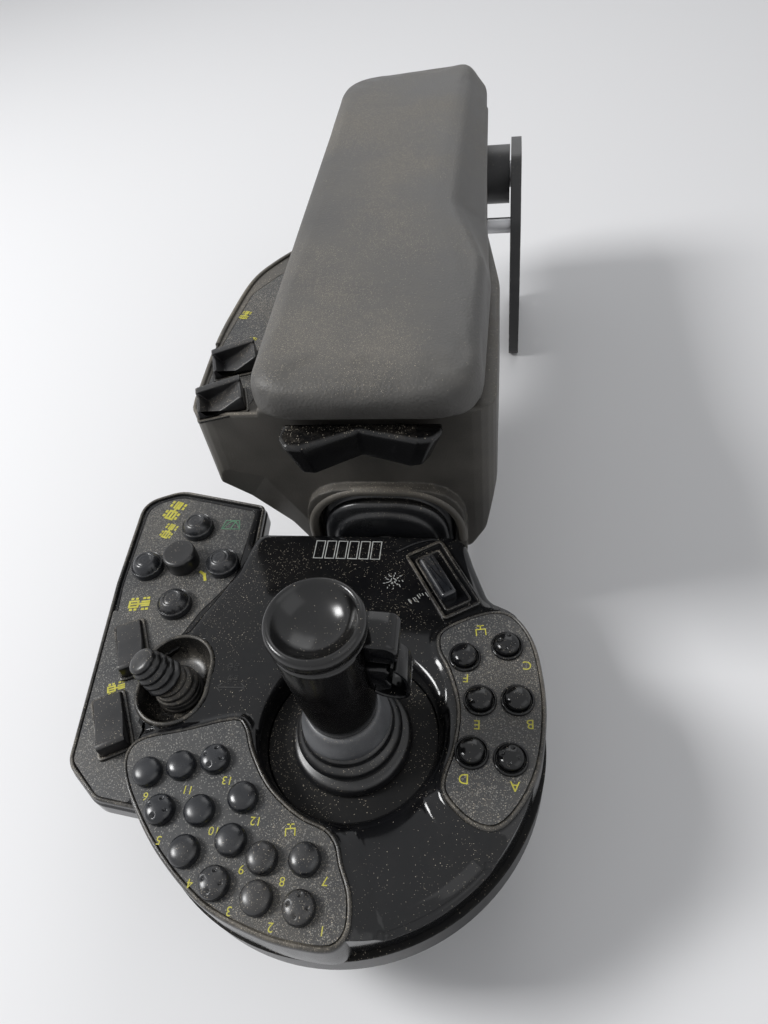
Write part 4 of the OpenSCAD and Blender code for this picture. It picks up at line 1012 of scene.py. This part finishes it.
rockers = {
    # wing: x, y, turn, length, width, and its frame: wall, low, high;
    # other frames: length, width, wall, low, high, corner radius
    "wing": [(-122, 37, 116, 32, 14), (-118, -5, 118, 31, 15)],
    "wingLevel": -7.9, "wingFrame": (1.7, -0.5, 1.6), "wingGap": 3, "wingSide": 0.6,
    # from the back end, the middle or the front end (-1, 0, 1), how far past it, and the height
    "wingShape": [(-1, 0, 0), (1, 0, 0), (1, 0, 2.6), (1, -1, 3.2), (0, 1, 4.9), (-1, 5, 8.7),
                  (-1, 2, 9.7), (-1, 0, 9)],
    "wingRounding": (0.55, 3), "sideRounding": (0.5, 3),
    "side": [(-75, 136, 18), (-75, 168, 18)], "sideLevel": 74.1,
    "sideFrame": (27, 21, 1.5, -0.6, 0.9, 2),
    "sideFront": [(-12, 0), (12, 0), (12, 8.6), (10.8, 9.2), (2, 4.6), (-7, 0.9), (-10.6, 6.2),
                  (-12, 5.8)],
    "sideBack": [(-12, 0), (12, 0), (12, 10), (-10.6, 7.6), (-12, 7.2)],
    "sideReach": ((-8.6, 5), (4.8, 9)),
    "top": (38.3, 83.4, -59.5), "topLevel": -3, "topPlate": ((-22, -10, -3.4), (22, 10, -0.2)),
    "topFrames": [(47, 22.5, 1.9, -3.6, 2, 3), (38, 15.4, 1.3, -3.3, 0.9, 2.5)],
    "topPaddle": (35.7, 83.6), "paddleBox": (28.8, 8.8, 2.6, 8), "paddleCurve": 0.0045,
    "paddleEdge": ((0, -1), (0, 2.4), (0.2, 3.1), (0.7, 3.7), (1.5, 4.1), (2.6, 4.2)),
    "topLip": [(12, 101.4), (20.7, 106.8), (29.7, 109.9), (34.6, 109.8)],
    "lipLevel": -2.8, "lipRadius": 0.8,
}


def makeWingRockers(s):
    frames, paddles = [], []
    for x, y, turn, length, width in s["wing"]:
        frame = framePart(length + s["wingGap"], width + s["wingGap"], *s["wingFrame"])
        frames.append(placed(frame, x, y, s["wingLevel"], turn))
        shape = [(end * length / 2 + past, z) for end, past, z in s["wingShape"]]
        paddle = prismPart(shape, -width / 2 + s["wingSide"], width / 2 - s["wingSide"])
        paddles.append(placed(paddle, x, y, s["wingLevel"], turn))
    wing = partPiece("wingPaddles", joined(paddles), "rockerPlastic", "pod",
                     rounding=s["wingRounding"])
    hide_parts("wing_rockers")
    partPiece("wingRockerFrames", joined(frames), "dustAndHighlightRim", "pod")


def makeTopRocker(s):
    x, y, turn = s["top"]
    parts = [framePart(*sizes) for sizes in s["topFrames"]] + [boxPart(*s["topPlate"])]
    frame = joined([placed(part, x, y, s["topLevel"], turn) for part in parts])
    bezel = partPiece("topRockerBezel", frame, "dustAndHighlightRim", "pod")
    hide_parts("top_rocker")
    lip = curveThrough([(a, b, s["lipLevel"]) for a, b in s["topLip"]])
    partPiece("topRockerLip", tubeAlong(lip, s["lipRadius"]), "glossBlack", "pod")
    outline = boxOutline(*s["paddleBox"])
    points, faces = loft([ringAt(outline, inset, z) for inset, z in s["paddleEdge"]])
    points[:, 2] += np.where(points[:, 2] > 0, s["paddleCurve"] * points[:, 0] ** 2, 0)
    x, y = s["topPaddle"]
    paddle = placed((points, faces), x, y, s["topLevel"], turn)
    partPiece("topRockerPaddle", paddle, "keyRubber", "pod")


def makeSideRockers(s):
    paddles, frames = [], []
    for x, y, turn in s["side"]:
        for shape, reach in zip((s["sideFront"], s["sideBack"]), s["sideReach"]):
            paddles.append(placed(prismPart(shape, *reach), x, y, s["sideLevel"], turn))
        frames.append(placed(framePart(*s["sideFrame"]), x, y, s["sideLevel"], turn))
    side = partPiece("sidePaddles", joined(paddles), "rockerPlastic", "arm",
                     rounding=s["sideRounding"])
    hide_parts("side_rockers")
    partPiece("sideRockerFrames", joined(frames), "dustAndHighlightRim", "arm")


makeWingRockers(rockers)
makeTopRocker(rockers)
makeSideRockers(rockers)
print("rockers made")


# Joystick: grip, thumb block, paddle and guard
joystick = {
    "grip": [(14.8, 17), (15.6, 17.3), (16, 18.2), (16.4, 24), (17.4, 40), (18.6, 60), (19.4, 76),
             (19.5, 79), (19.2, 79.4), (19.2, 80), (19.6, 80.4), (19.9, 82.5), (20, 84.5),
             (19.8, 86.2), (19.3, 87.3), (18.5, 87.9), (17.7, 87.9), (17, 87.4), (16.3, 86.4),
             (15.2, 84.9), (13.4, 83), (11, 81.4), (8, 80.2), (5, 79.6), (2, 79.3), (0, 79.3)],
    "collar": [(5.1, 4.2), (19.2, 4.2), (20.1, 4.5), (20.5, 5.2), (20.4, 6.4), (19.9, 8),
               (18.6, 11.4), (17.4, 14.6), (17, 15.6), (16.4, 16.3), (15.6, 16.6), (5.1, 16.6)],
    "thumbTop": [(0, 60), (9.5, 59), (12, 59.6), (13.4, 61.4), (14, 65), (13.6, 69), (12, 71.8),
                 (9.6, 72.8), (0, 73.6)],
    "paddle": [(0, 41), (5, 40.4), (9, 42), (9.6, 45), (7.4, 49.5), (9.8, 54.5), (8.6, 57.5),
               (0, 58)],
    "side": 16.1, "flatSide": 16.2, "flatFrom": 22, "flatTo": 77.5,
    "headReach": (-2.5, 14.5), "headRounding": (1.7, 4),
    "paddleReach": (-4, 9), "paddleRounding": (0.9, 3),
    "guardReach": (-5.5, 8), "guardWall": 1.7, "guardRounding": (0.4, 2),
    "guard": [(1.5, 41.5), (5, 38.4), (10, 36.6), (14, 37), (16.4, 39.6), (17.4, 45), (17.2, 51),
              (15.8, 56), (13, 60.4)],
}


def makeGrip(s):
    points, faces = lathe(s["grip"], count=96)
    x, z = points[:, 0], points[:, 2]
    points[(z > s["flatFrom"]) & (z < s["flatTo"]) & (x > s["flatSide"]), 0] = s["flatSide"]
    grip = partPiece("gripShell", (points, faces), "gripGloss", "stick", angle=45)
    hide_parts("stick_grip")
    collar = partPiece("gripCollar", lathe(s["collar"], count=80, closed=True), "greyCollar",
                       "stick", angle=50)
    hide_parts("stick_collar")


def makeThumbControls(s):
    beside = {key: [(x + s["side"], z) for x, z in s[key]] for key in ("thumbTop", "paddle", "guard")}
    head = partPiece("thumbHead", prismPart(beside["thumbTop"], *s["headReach"]), "glossBlack",
                     "stick", rounding=s["headRounding"])
    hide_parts("thumb_block")
    lower = partPiece("thumbPaddle", prismPart(beside["paddle"], *s["paddleReach"]), "glossBlack",
                      "stick", rounding=s["paddleRounding"])
    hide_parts("thumb_rocker")
    path = curveThrough(beside["guard"], steps=4)
    along = np.gradient(path, axis=0)
    along /= np.linalg.norm(along, axis=1)[:, None]
    inside = path + s["guardWall"] * np.stack([-along[:, 1], along[:, 0]], 1)
    band = prismPart([tuple(p) for p in np.vstack([path, inside[::-1]])], *s["guardReach"])
    partPiece("thumbGuard", band, "glossBlack", "stick",
              rounding=s["guardRounding"])


makeGrip(joystick)
makeThumbControls(joystick)


# Joystick boot in two parts
boot = {
    "outer": [(22, -17), (28, -17), (28.6, -16.2), (28.8, -14.8), (28.4, -12.6), (27.4, -11.2),
              (26.1, -10.5), (25, -10.2), (24.3, -9.8), (22.5, -9.5), (21, -10), (21, -14)],
    "inner": [(20.6, -9.2), (23.2, -9.1), (24.1, -8.3), (24.7, -6.9), (24.8, -5), (24.3, -3.2),
              (23.2, -1.9), (21.9, -1), (21.2, -0.2), (21.4, 1), (21.3, 2.4), (20.6, 3.4),
              (19.6, 4), (16, 4.1), (16, 1), (19, -4)],
}


outerBoot = rubberPiece("bootOuter", lathe(refine(boot["outer"]), count=72, closed=True))
innerBoot = rubberPiece("bootInner", lathe(refine(boot["inner"]), count=72, closed=True))
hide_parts("stick_boot")
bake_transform(outerBoot)
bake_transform(innerBoot)
print("joystick made")


# Neck bellows between the arm and the pod, and the rolled lip of the hood
bellows = {
    "centre": (4, -19), "half": 40.5, "corner": 30,
    "bands": [(27, 129.3), (3.6, 129.3), (2.8, 128.6), (2.4, 127.2), (2.7, 125.8), (3.7, 124.9),
              (5.2, 124.3), (5.8, 123.4), (5.3, 122.4), (4.8, 121), (5, 119.4), (6, 118.2),
              (7.8, 117.6), (9.8, 117.2), (10.6, 116.6), (11.3, 115.6), (13.4, 114.9),
              (27, 114.7)],
    "lip": 2.8, "lipGrow": 2.4, "lipAt": 122.4, "lipFoot": -16, "lipSteps": 14,
    "hoodTop": 21,
}


def bandRing(inset, y):
    s = bellows
    half = s["half"] - inset
    flat = boxOutline(2 * half, 2 * half, min(s["corner"], half - 1), steps=20)
    return np.column_stack([s["centre"][0] + flat[:, 0], np.full(len(flat), y),
                            s["centre"][1] - flat[:, 1]])


def makeHoodLip(s):
    r, flat = s["corner"] + s["lipGrow"], s["half"] - s["corner"]
    level = s["hoodTop"] - s["corner"]
    path = [(s["centre"][0] + side * flat + r * math.cos(a), s["lipAt"], level + r * math.sin(a))
            for side, start in ((1, 0), (-1, math.pi / 2))
            for a in np.linspace(start, start + math.pi / 2, s["lipSteps"])]
    foot = s["lipFoot"]
    path = [(path[0][0], s["lipAt"], foot)] + path + [(path[-1][0], s["lipAt"], foot)]
    partPiece("hoodLip", tubeAlong(path, s["lip"]), "dustAndHighlightHousing", "arm", angle=60)


bandRings = [bandRing(inset, y) for inset, y in refine(bellows["bands"], step=0.9)]
neckBellows = rubberPiece("neckBands", loft(bandRings, closeRows=True))
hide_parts("neck_bellows")
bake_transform(neckBellows)
makeHoodLip(bellows)
print("boots made")


# Mini joystick: ribbed knob and its small boot
miniStick = {
    "pivot": (-92, 18, -10), "lean": 22, "leanFrom": -9.8, "leanTo": -2.6, "fine": 0.6,
    "ribs": [(0, 7.8), (4.8, 7.8), (6.6, 8.1), (8.8, 8.8), (9.8, 9.6), (10.1, 10.4), (9.9, 11.2),
             (9, 11.9), (8.2, 12.5), (8.3, 13.1), (9, 13.6), (9.5, 14.4), (9.4, 15.3), (8.7, 16.1),
             (7.8, 16.8), (7.8, 17.4), (8.5, 18), (8.9, 18.8), (8.8, 19.7), (8.2, 20.5),
             (7.3, 21.2), (7.3, 21.8), (7.9, 22.4), (8.2, 23.2), (8, 24.1), (7.4, 24.9),
             (6.9, 25.4), (6.9, 26), (7.1, 26.8), (6.8, 27.7), (6, 28.4), (4.6, 28.8), (0, 29)],
    "lower": [(10, -14.6), (11.4, -14.7), (12.1, -14.1), (12.1, -13.2), (11.5, -12.6),
              (11.1, -12.2), (11.5, -11.6), (11.6, -10.8), (11.2, -10.1), (10.6, -9.8),
              (10, -10)],
    "upper": [(9.9, -10), (11, -9.7), (11.5, -9), (11.4, -8.1), (10.7, -7.5), (10, -7.1),
              (10.3, -6.4), (10.2, -5.6), (9.4, -5), (8.7, -4.7), (9, -4), (8.8, -3.3),
              (7.9, -2.8), (6.4, -2.6), (6.4, -3.6), (8.8, -7.6)],
}


def leaned(points, s):
    # tilts more and more between two levels
    pivot = s["pivot"]
    share = np.clip((points[:, 2] - s["leanFrom"]) / (s["leanTo"] - s["leanFrom"]), 0, 1)
    a = np.radians(-s["lean"]) * share
    x, z = points[:, 0] - pivot[0], points[:, 2] - pivot[2]
    return np.column_stack([pivot[0] + x * np.cos(a) + z * np.sin(a), points[:, 1],
                            pivot[2] - x * np.sin(a) + z * np.cos(a)])


def makeMiniStick(s):
    pivot = np.array(s["pivot"], float)
    foot = (pivot[0], pivot[1], 0)
    points, faces = lathe(s["ribs"], tuple(pivot), count=56)
    leaning = turned(points, pivot, "Y", -s["lean"])
    knob = rubberPiece("miniKnob", (leaning, faces), body="mini_stick")
    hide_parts("mini_knob")
    part = lathe(refine(s["lower"], s["fine"]), foot, count=56, closed=True)
    lower = rubberPiece("miniBootLower", part, "dustyRubber")
    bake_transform(lower)
    points, faces = lathe(refine(s["upper"], s["fine"]), foot, count=56, closed=True)
    upper = rubberPiece("miniBootUpper", (leaned(points, s), faces), "dustyRubber")
    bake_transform(upper)


makeMiniStick(miniStick)
print("mini joystick made")


# Release lever, and the raised beads of the wing and the housing
lever = {
    "at": (0, 104), "reach": 41.5, "low": 56, "high": 74, "taper": 8, "rods": (20, 64, 4, 113, 159),
    "outline": [(-40.5, 18, 2), (-41.5, 8, 5), (-36.5, 0.5, 4), (-28.5, 0, 5), (-1, 13, 5),
                (29.5, 5, 5), (36.5, 6, 4), (41.5, 12, 5), (40.5, 18, 2)],
    "edge": [(1.1, 56), (0.3, 56.4), (0, 57.2), (0, 71.2), (0.15, 72.2), (0.6, 73.1), (1.3, 73.7),
             (2.3, 74)],
}
beads = {
    "wing": [(-66, 60, 4), (-71, 138, 6), (-128, 150, 22), (-151, 140, 16), (-147, 78, 40),
             (-134, -26, 14), (-114, -42, 14), (-80, -46, 8), (-60, 0, 6)],
    "wingProfile": [(0.7, -10.5), (0.7, -8), (0.95, -7.35), (1.6, -7), (2.3, -7.3), (2.6, -7.9),
                    (2.6, -10.5)],
    "filmFoot": [(-142.2, 62, 2), (-131.6, -23.6, 8), (-113.4, -39.2, 8), (-96, -41.4, 2),
                 (-104, -20, 2), (-102, -6, 2), (-112, 4, 2), (-112.5, 32, 2), (-124, 52, 2)],
    "filmEdge": [(0, -9.2), (0, -8.05), (0.12, -7.94)],
    "housing": [(-52, 128.4, 74.2), (-80, 128.4, 74.2), (-87.4, 130.6, 74.2), (-89.7, 138, 74.2),
                (-90.2, 150, 74.2), (-91.2, 187, 74.2), (-89.6, 215, 74.2), (-84.6, 250, 74.2),
                (-74, 271, 74.2), (-58, 291, 74.2)],
    "housingRadius": 1.3,
}


def makeLever(s):
    outline = roundedOutline(s["outline"], steps=8)
    rings = []
    for inset, z in s["edge"]:
        ring = ringAt(outline, inset, z)
        share = (s["high"] - z) / (s["high"] - s["low"])
        ring[:, 0] *= 1 - s["taper"] / s["reach"] * share
        rings.append(ring + np.array([s["at"][0], s["at"][1], 0]))
    out, z, radius, front, back = s["rods"]
    parts = [loft(rings)]
    for side in (-1, 1):
        parts.append(tubeAlong([(side * out, front, z), (side * out, back, z)], radius))
    piece = partPiece("leverBar", joined(parts), "dustyGloss", "lever")
    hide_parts("release_lever")


def makeBeads(s):
    outline = roundedOutline(s["wing"], steps=10)
    rings = [ringAt(outline, inset, z) for inset, z in s["wingProfile"]]
    partPiece("wingBead", loft(rings, closeRows=True), "dustAndHighlightRim", "pod")
    outline = roundedOutline(s["filmFoot"], steps=6)
    rings = [ringAt(outline, inset, z) for inset, z in s["filmEdge"]]
    partPiece("wingFilmFoot", loft(rings), "fasciaFilm", "pod")
    path = curveThrough(s["housing"])
    partPiece("housingBead", tubeAlong(path, s["housingRadius"]), "dustAndHighlightHousing", "arm")


makeLever(lever)
makeBeads(beads)
print("lever and beads made")


# Arm pad: a cushion pressed out under a soft skin
padForm = {
    "top": [(-53, 0, 22), (59, 0, 24), (60, 108, 40), (43, 168, 40), (45, 392, 18),
            (-58, 374, 36)],
    "foot": [(-53, 0, 22), (60, 0, 24), (62, 108, 40), (59, 168, 40), (54, 394, 22),
             (-58, 376, 36)],
    "front": 111, "low": 82.6,
    "edge": [(5.5, 0, 0), (2.6, 0.5, 0), (1, 1.7, 0), (0.2, 3.4, 0), (0, 5.5, 0.05),
             (0, 8.5, 0.28), (0, 11.5, 0.55), (0, 14, 0.76), (0.2, 16.2, 0.9), (1, 18.3, 0.97),
             (2.4, 20.2, 1), (4.4, 21.6, 1), (6.8, 22.5, 1), (9.5, 23, 1)],
    "rightEdge": 0.55, "voxel": 0.0036, "soften": (0.5, 3), "holdHigh": 0.004, "cap": 0.0009,
    "frames": 20,
    "cloth": {"quality": 6, "mass": 0.25, "tension_stiffness": 12, "compression_stiffness": 12,
              "shear_stiffness": 6, "bending_stiffness": 0.6, "use_pressure": True,
              "uniform_pressure_force": 1.6, "vertex_group_mass": "held"},
}


def padBlank(settings):
    shift = settings["front"]
    top, foot = (roundedOutline([(x, y + shift, r) for x, y, r in settings[k]], steps=12)
                 for k in ("top", "foot"))
    rings = []
    for inset, z, share in settings["edge"]:
        outline = foot + (top - foot) * share
        move = insetOutline(outline, inset) - outline
        outward = -move[:, 0] / max(inset, 1e-9)
        weight = 1 - settings["rightEdge"] * np.clip(outward, 0, 1)
        flat = outline + move * weight[:, None]
        rings.append(levelRing(flat, settings["low"] + z))
    return meshFrom("armPad", *loft(rings))


def clothMove(piece, before, settings):
    # short cloth run with inner pressure, the foot held; gives the movement of each vertex
    held = piece.vertex_groups.new(name="held")
    low = before[:, 2].min() + settings["holdHigh"]
    held.add([i for i, z in enumerate(before[:, 2]) if z < low], 1.0, "REPLACE")
    cloth = piece.modifiers.new("cushion", "CLOTH")
    cloth.point_cache.frame_start, cloth.point_cache.frame_end = 1, settings["frames"]
    for key, value in settings["cloth"].items():
        setattr(cloth.settings, key, value)
    cloth.settings.effector_weights.gravity = 0
    for step in range(1, settings["frames"] + 1):
        bpy.context.scene.frame_set(step)
    seen = piece.evaluated_get(bpy.context.evaluated_depsgraph_get())
    after = np.array([v.co[:] for v in seen.data.vertices])
    bpy.context.scene.frame_set(1)
    piece.modifiers.clear()
    return after - before


def pressedOut(mesh, settings):
    # voxel skin, pressed out by cloth with its movement capped
    piece = sceneObject("padBlank", mesh)
    remesh = piece.modifiers.new("skin", "REMESH")
    remesh.mode, remesh.voxel_size, remesh.use_smooth_shade = "VOXEL", settings["voxel"], True
    soften = piece.modifiers.new("soften", "SMOOTH")
    soften.factor, soften.iterations = settings["soften"]
    skin = evaluatedMesh(piece)
    piece.modifiers.clear()
    piece.data = skin
    before = np.array([v.co[:] for v in skin.vertices])
    move = clothMove(piece, before, settings)
    length = np.linalg.norm(move, axis=1)[:, None]
    move *= np.minimum(1, settings["cap"] / np.maximum(length, 1e-9))
    print("cushion moved up to %.1f mm" % (np.linalg.norm(move, axis=1).max() * 1000))
    skin.vertices.foreach_set("co", (before + move).ravel())
    divide = piece.modifiers.new("divide", "SUBSURF")
    divide.levels = divide.render_levels = 1
    result = evaluatedMesh(piece)
    bpy.data.objects.remove(piece)
    return result


armPad = addPiece("armCushion", pressedOut(padBlank(padForm), padForm), paint["padSkin"], "arm",
                  angle=60)
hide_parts("arm_pad")
print("pad made")


# Printed legends: numbers, single letters and plain machine signs
legends = {
    "left": {"1": (2.3, -85.8), "2": (-18.3, -86.4), "3": (-36.4, -82.2), "4": (-55.4, -73.6),
             "5": (-74, -58), "6": (-86, -40.2), "7": (0.6, -68), "8": (-17, -69.6),
             "9": (-35, -66.5), "10": (-50.6, -52.4), "11": (-67.4, -36), "12": (-33.4, -47),
             "13": (-50.4, -30.6)},
    "right": {"C": (81.4, 33.4), "F": (53, 25.4), "E": (59, 2.4), "B": (82.6, 4), "D": (54, -22.6),
              "A": (75.8, -24.4)},
    "leftSize": 5.2, "rightSize": 6.4, "inkThick": 0.06, "strokeLift": 0.012,
    "keypadLevel": 0.06, "wingLevel": -7.9, "deckLevel": -2.95, "housingLevel": 74.15,
    "keySign": [[(-2.2, -2.2), (-2.2, 0.6), (1.8, 0.6), (1.8, -2.2)], [(-0.2, 0.6), (-0.2, 2.4)],
                [(-1.4, 2.4), (1.2, 2.4)]],
    "keySignsAt": [(-17.4, -49.6, 1.0), (59.4, 51.4, 1.15)], "keySignTurn": 8,
    "keySignWide": 0.55,
    "machineBars": [[(-1.6, 0), (1.6, 0)], [(-1.6, 0.55), (-0.2, 0.55)],
                    [(-1.6, -0.55), (-0.2, -0.55)], [(-1.6, 0.55), (-1.6, -0.55)],
                    [(-0.2, 0.55), (-0.2, -0.55)], [(0.5, 0.4), (1.6, 0.4)],
                    [(0.5, -0.4), (1.6, -0.4)]],
    "barWide": 0.34, "wheelsAt": ((-1.25, -0.5, 0.75, 1.4), (-1.05, 1.05)), "wheel": (0.25, 0.2),
    # machines as x, y, turn and size
    "wingMachines": [(-128.6, 133.2, 72, 4.1), (-127.4, 117.2, 72, 3.1), (-128.4, 65.4, 8, 3.4),
                     (-123.5, 14.7, 20, 2.6)],
    "housingMachines": [(-81.7, 215, 75, 2.2), (-72, 190, 75, 1.8), (-66.5, 132.7, 75, 1.7),
                        (-75.2, 155, 75, 1.5)],
    "deckMachines": [(-63, 27, 0, 1.7), (-61.5, 20.5, 0, 1.5)],
    "wingHook": [(-99, 88), (-96.4, 86.4), (-95, 82.8)], "hookWide": 1.6,
    "wiperPane": [(-95, 119.6), (-84, 119.6), (-85.4, 126), (-93.6, 126), (-95, 119.6)],
    "wiperArm": [(-89.6, 119.6), (-87.6, 125)], "wiperWide": 0.6,
    "wiperArc": (-94, 120.4, 1.2, 5, 22, 9),
    "boxes": (-34, 96, 5, 12, 6, 0.5), "boxGap": 1.4,
    "star": {"at": (12, 82), "rays": 9, "turn": 0.7, "spread": 0.25, "wide": 0.4,
             "rings": ((1.2, 1.9), (2.9, 3.7), (4.6, 5.3))},
    "drops": {"at": (20, 70), "step": (0.95, 0.5), "spread": 0.7, "fall": (1.6, -2.2),
              "long": (0.4, 1.1), "count": 10, "wide": 0.4},
    "arrows": [[(-69, 15.5), (-54, 16)], [(-66.5, 17.5), (-69, 15.5), (-66.5, 13.5)],
               [(-56.5, 18), (-54, 16), (-56.5, 14)]], "arrowWide": 0.7,
}


def textPart(word, size, x, y, z, turn=180):
    curve = bpy.data.curves.new("legend", "FONT")
    curve.body, curve.size = word, size / 1000
    curve.align_x, curve.align_y = "CENTER", "CENTER"
    curve.resolution_u, curve.extrude = 3, legends["inkThick"] / 2000
    holder = sceneObject("legend", curve)
    mesh = evaluatedMesh(holder)
    points = np.array([v.co[:] for v in mesh.vertices]) * 1000
    faces = [tuple(p.vertices) for p in mesh.polygons]
    bpy.data.objects.remove(holder)
    return placed((points, faces), x, y, z, turn)


def strokePart(points, width, z=0):
    # flat printed line through the points, each stroke a little higher than the one before
    parts = []
    for k, ((x0, y0), (x1, y1)) in enumerate(zip(points, points[1:])):
        length = math.hypot(x1 - x0, y1 - y0)
        turn = math.degrees(math.atan2(y1 - y0, x1 - x0))
        bar = boxPart((-width / 2, -width / 2, 0),
                      (length + width / 2, width / 2, legends["inkThick"]))
        parts.append(placed(bar, x0, y0, z + legends["strokeLift"] * k, turn))
    return joined(parts)


def printPiece(name, parts, finish, body):
    points, faces = joined(parts)
    mesh = meshFrom(name, points, faces, merge=0.000001, recalculate=False)
    return addPiece(name, mesh, paint[finish], body)


def machineSign(x, y, turn, size):
    # a machine seen from above: cab, boom and two pairs of wheels
    s, parts = legends, []
    for i, bar in enumerate(s["machineBars"]):
        line = [(a * size, b * size) for a, b in bar]
        parts.append(strokePart(line, s["barWide"] * size, s["strokeLift"] * i))
    a, b = s["wheel"]
    for u in s["wheelsAt"][0]:
        for v in s["wheelsAt"][1]:
            parts.append(boxPart(((u - a) * size, (v - b) * size, 0),
                                 ((u + a) * size, (v + b) * size, s["inkThick"])))
    return placed(joined(parts), x, y, 0, turn)


def lifted(part, z):
    return part[0] + np.array([0, 0, z]), part[1]


def keypadPrint(s):
    parts = []
    for side in ("left", "right"):
        for word, (x, y) in s[side].items():
            parts.append(textPart(word, s[side + "Size"], x, y, s["keypadLevel"]))
    for x, y, k in s["keySignsAt"]:
        lines = [strokePart([(a * k, b * k) for a, b in line], s["keySignWide"])
                 for line in s["keySign"]]
        parts.append(placed(joined(lines), x, y, s["keypadLevel"], s["keySignTurn"]))
    return parts


def wiperPrint(s):
    x, y, step, rise, turn, count = s["wiperArc"]
    arc = [(x + step * k, y + rise * math.sin(math.radians(turn * k))) for k in range(count)]
    lines = [strokePart(line, s["wiperWide"]) for line in (s["wiperPane"], arc, s["wiperArm"])]
    return lifted(joined(lines), s["wingLevel"])


def deckPrint(s):
    level = s["deckLevel"]
    x, y, wide, high, count, line = s["boxes"]
    parts = []
    for k in range(count):
        a, b = x + k * (wide + s["boxGap"]), x + k * (wide + s["boxGap"]) + wide
        box = [(a, y), (b, y), (b, y + high), (a, y + high), (a, y)]
        parts.append(strokePart(box, line, level))
    rng = np.random.default_rng(5)
    star, drops = s["star"], s["drops"]
    for k in range(star["rays"]):
        u = np.array([math.cos(star["turn"] * k), math.sin(star["turn"] * k)])
        for ring in star["rings"]:
            start, end = (np.array(star["at"]) + u * r + rng.normal(0, star["spread"], 2)
                          for r in ring)
            parts.append(strokePart([tuple(start), tuple(end)], star["wide"], level))
    for k in range(drops["count"]):
        start = np.array(drops["at"]) + np.array(drops["step"]) * k
        start = start + rng.normal(0, drops["spread"], 2)
        end = start + np.array(drops["fall"]) * rng.uniform(*drops["long"])
        parts.append(strokePart([tuple(start), tuple(end)], drops["wide"], level))
    return parts


def makeLegends(s):
    printPiece("keypadLegends", keypadPrint(s), "yellowPrint", "pod")
    signs = [machineSign(*place) for place in s["wingMachines"]]
    signs.append(strokePart(s["wingHook"], s["hookWide"]))
    printPiece("wingSigns", [lifted(k, s["wingLevel"]) for k in signs], "yellowPrint", "pod")
    marks = [lifted(machineSign(*place), s["housingLevel"]) for place in s["housingMachines"]]
    printPiece("housingSigns", marks, "yellowPrint", "arm")
    printPiece("wiperSign", [wiperPrint(s)], "greenPrint", "pod")
    printPiece("deckSigns", deckPrint(s), "palePrint", "pod")
    arrows = [strokePart(line, s["arrowWide"]) for line in s["arrows"]]
    arrows += [machineSign(*place) for place in s["deckMachines"]]
    printPiece("deckArrows", [lifted(joined(arrows), s["deckLevel"])], "rockerPlastic", "pod")


makeLegends(legends)
print("legends printed")

cadLow, cadHigh = (list(v) for v in (cadLow, cadHigh))
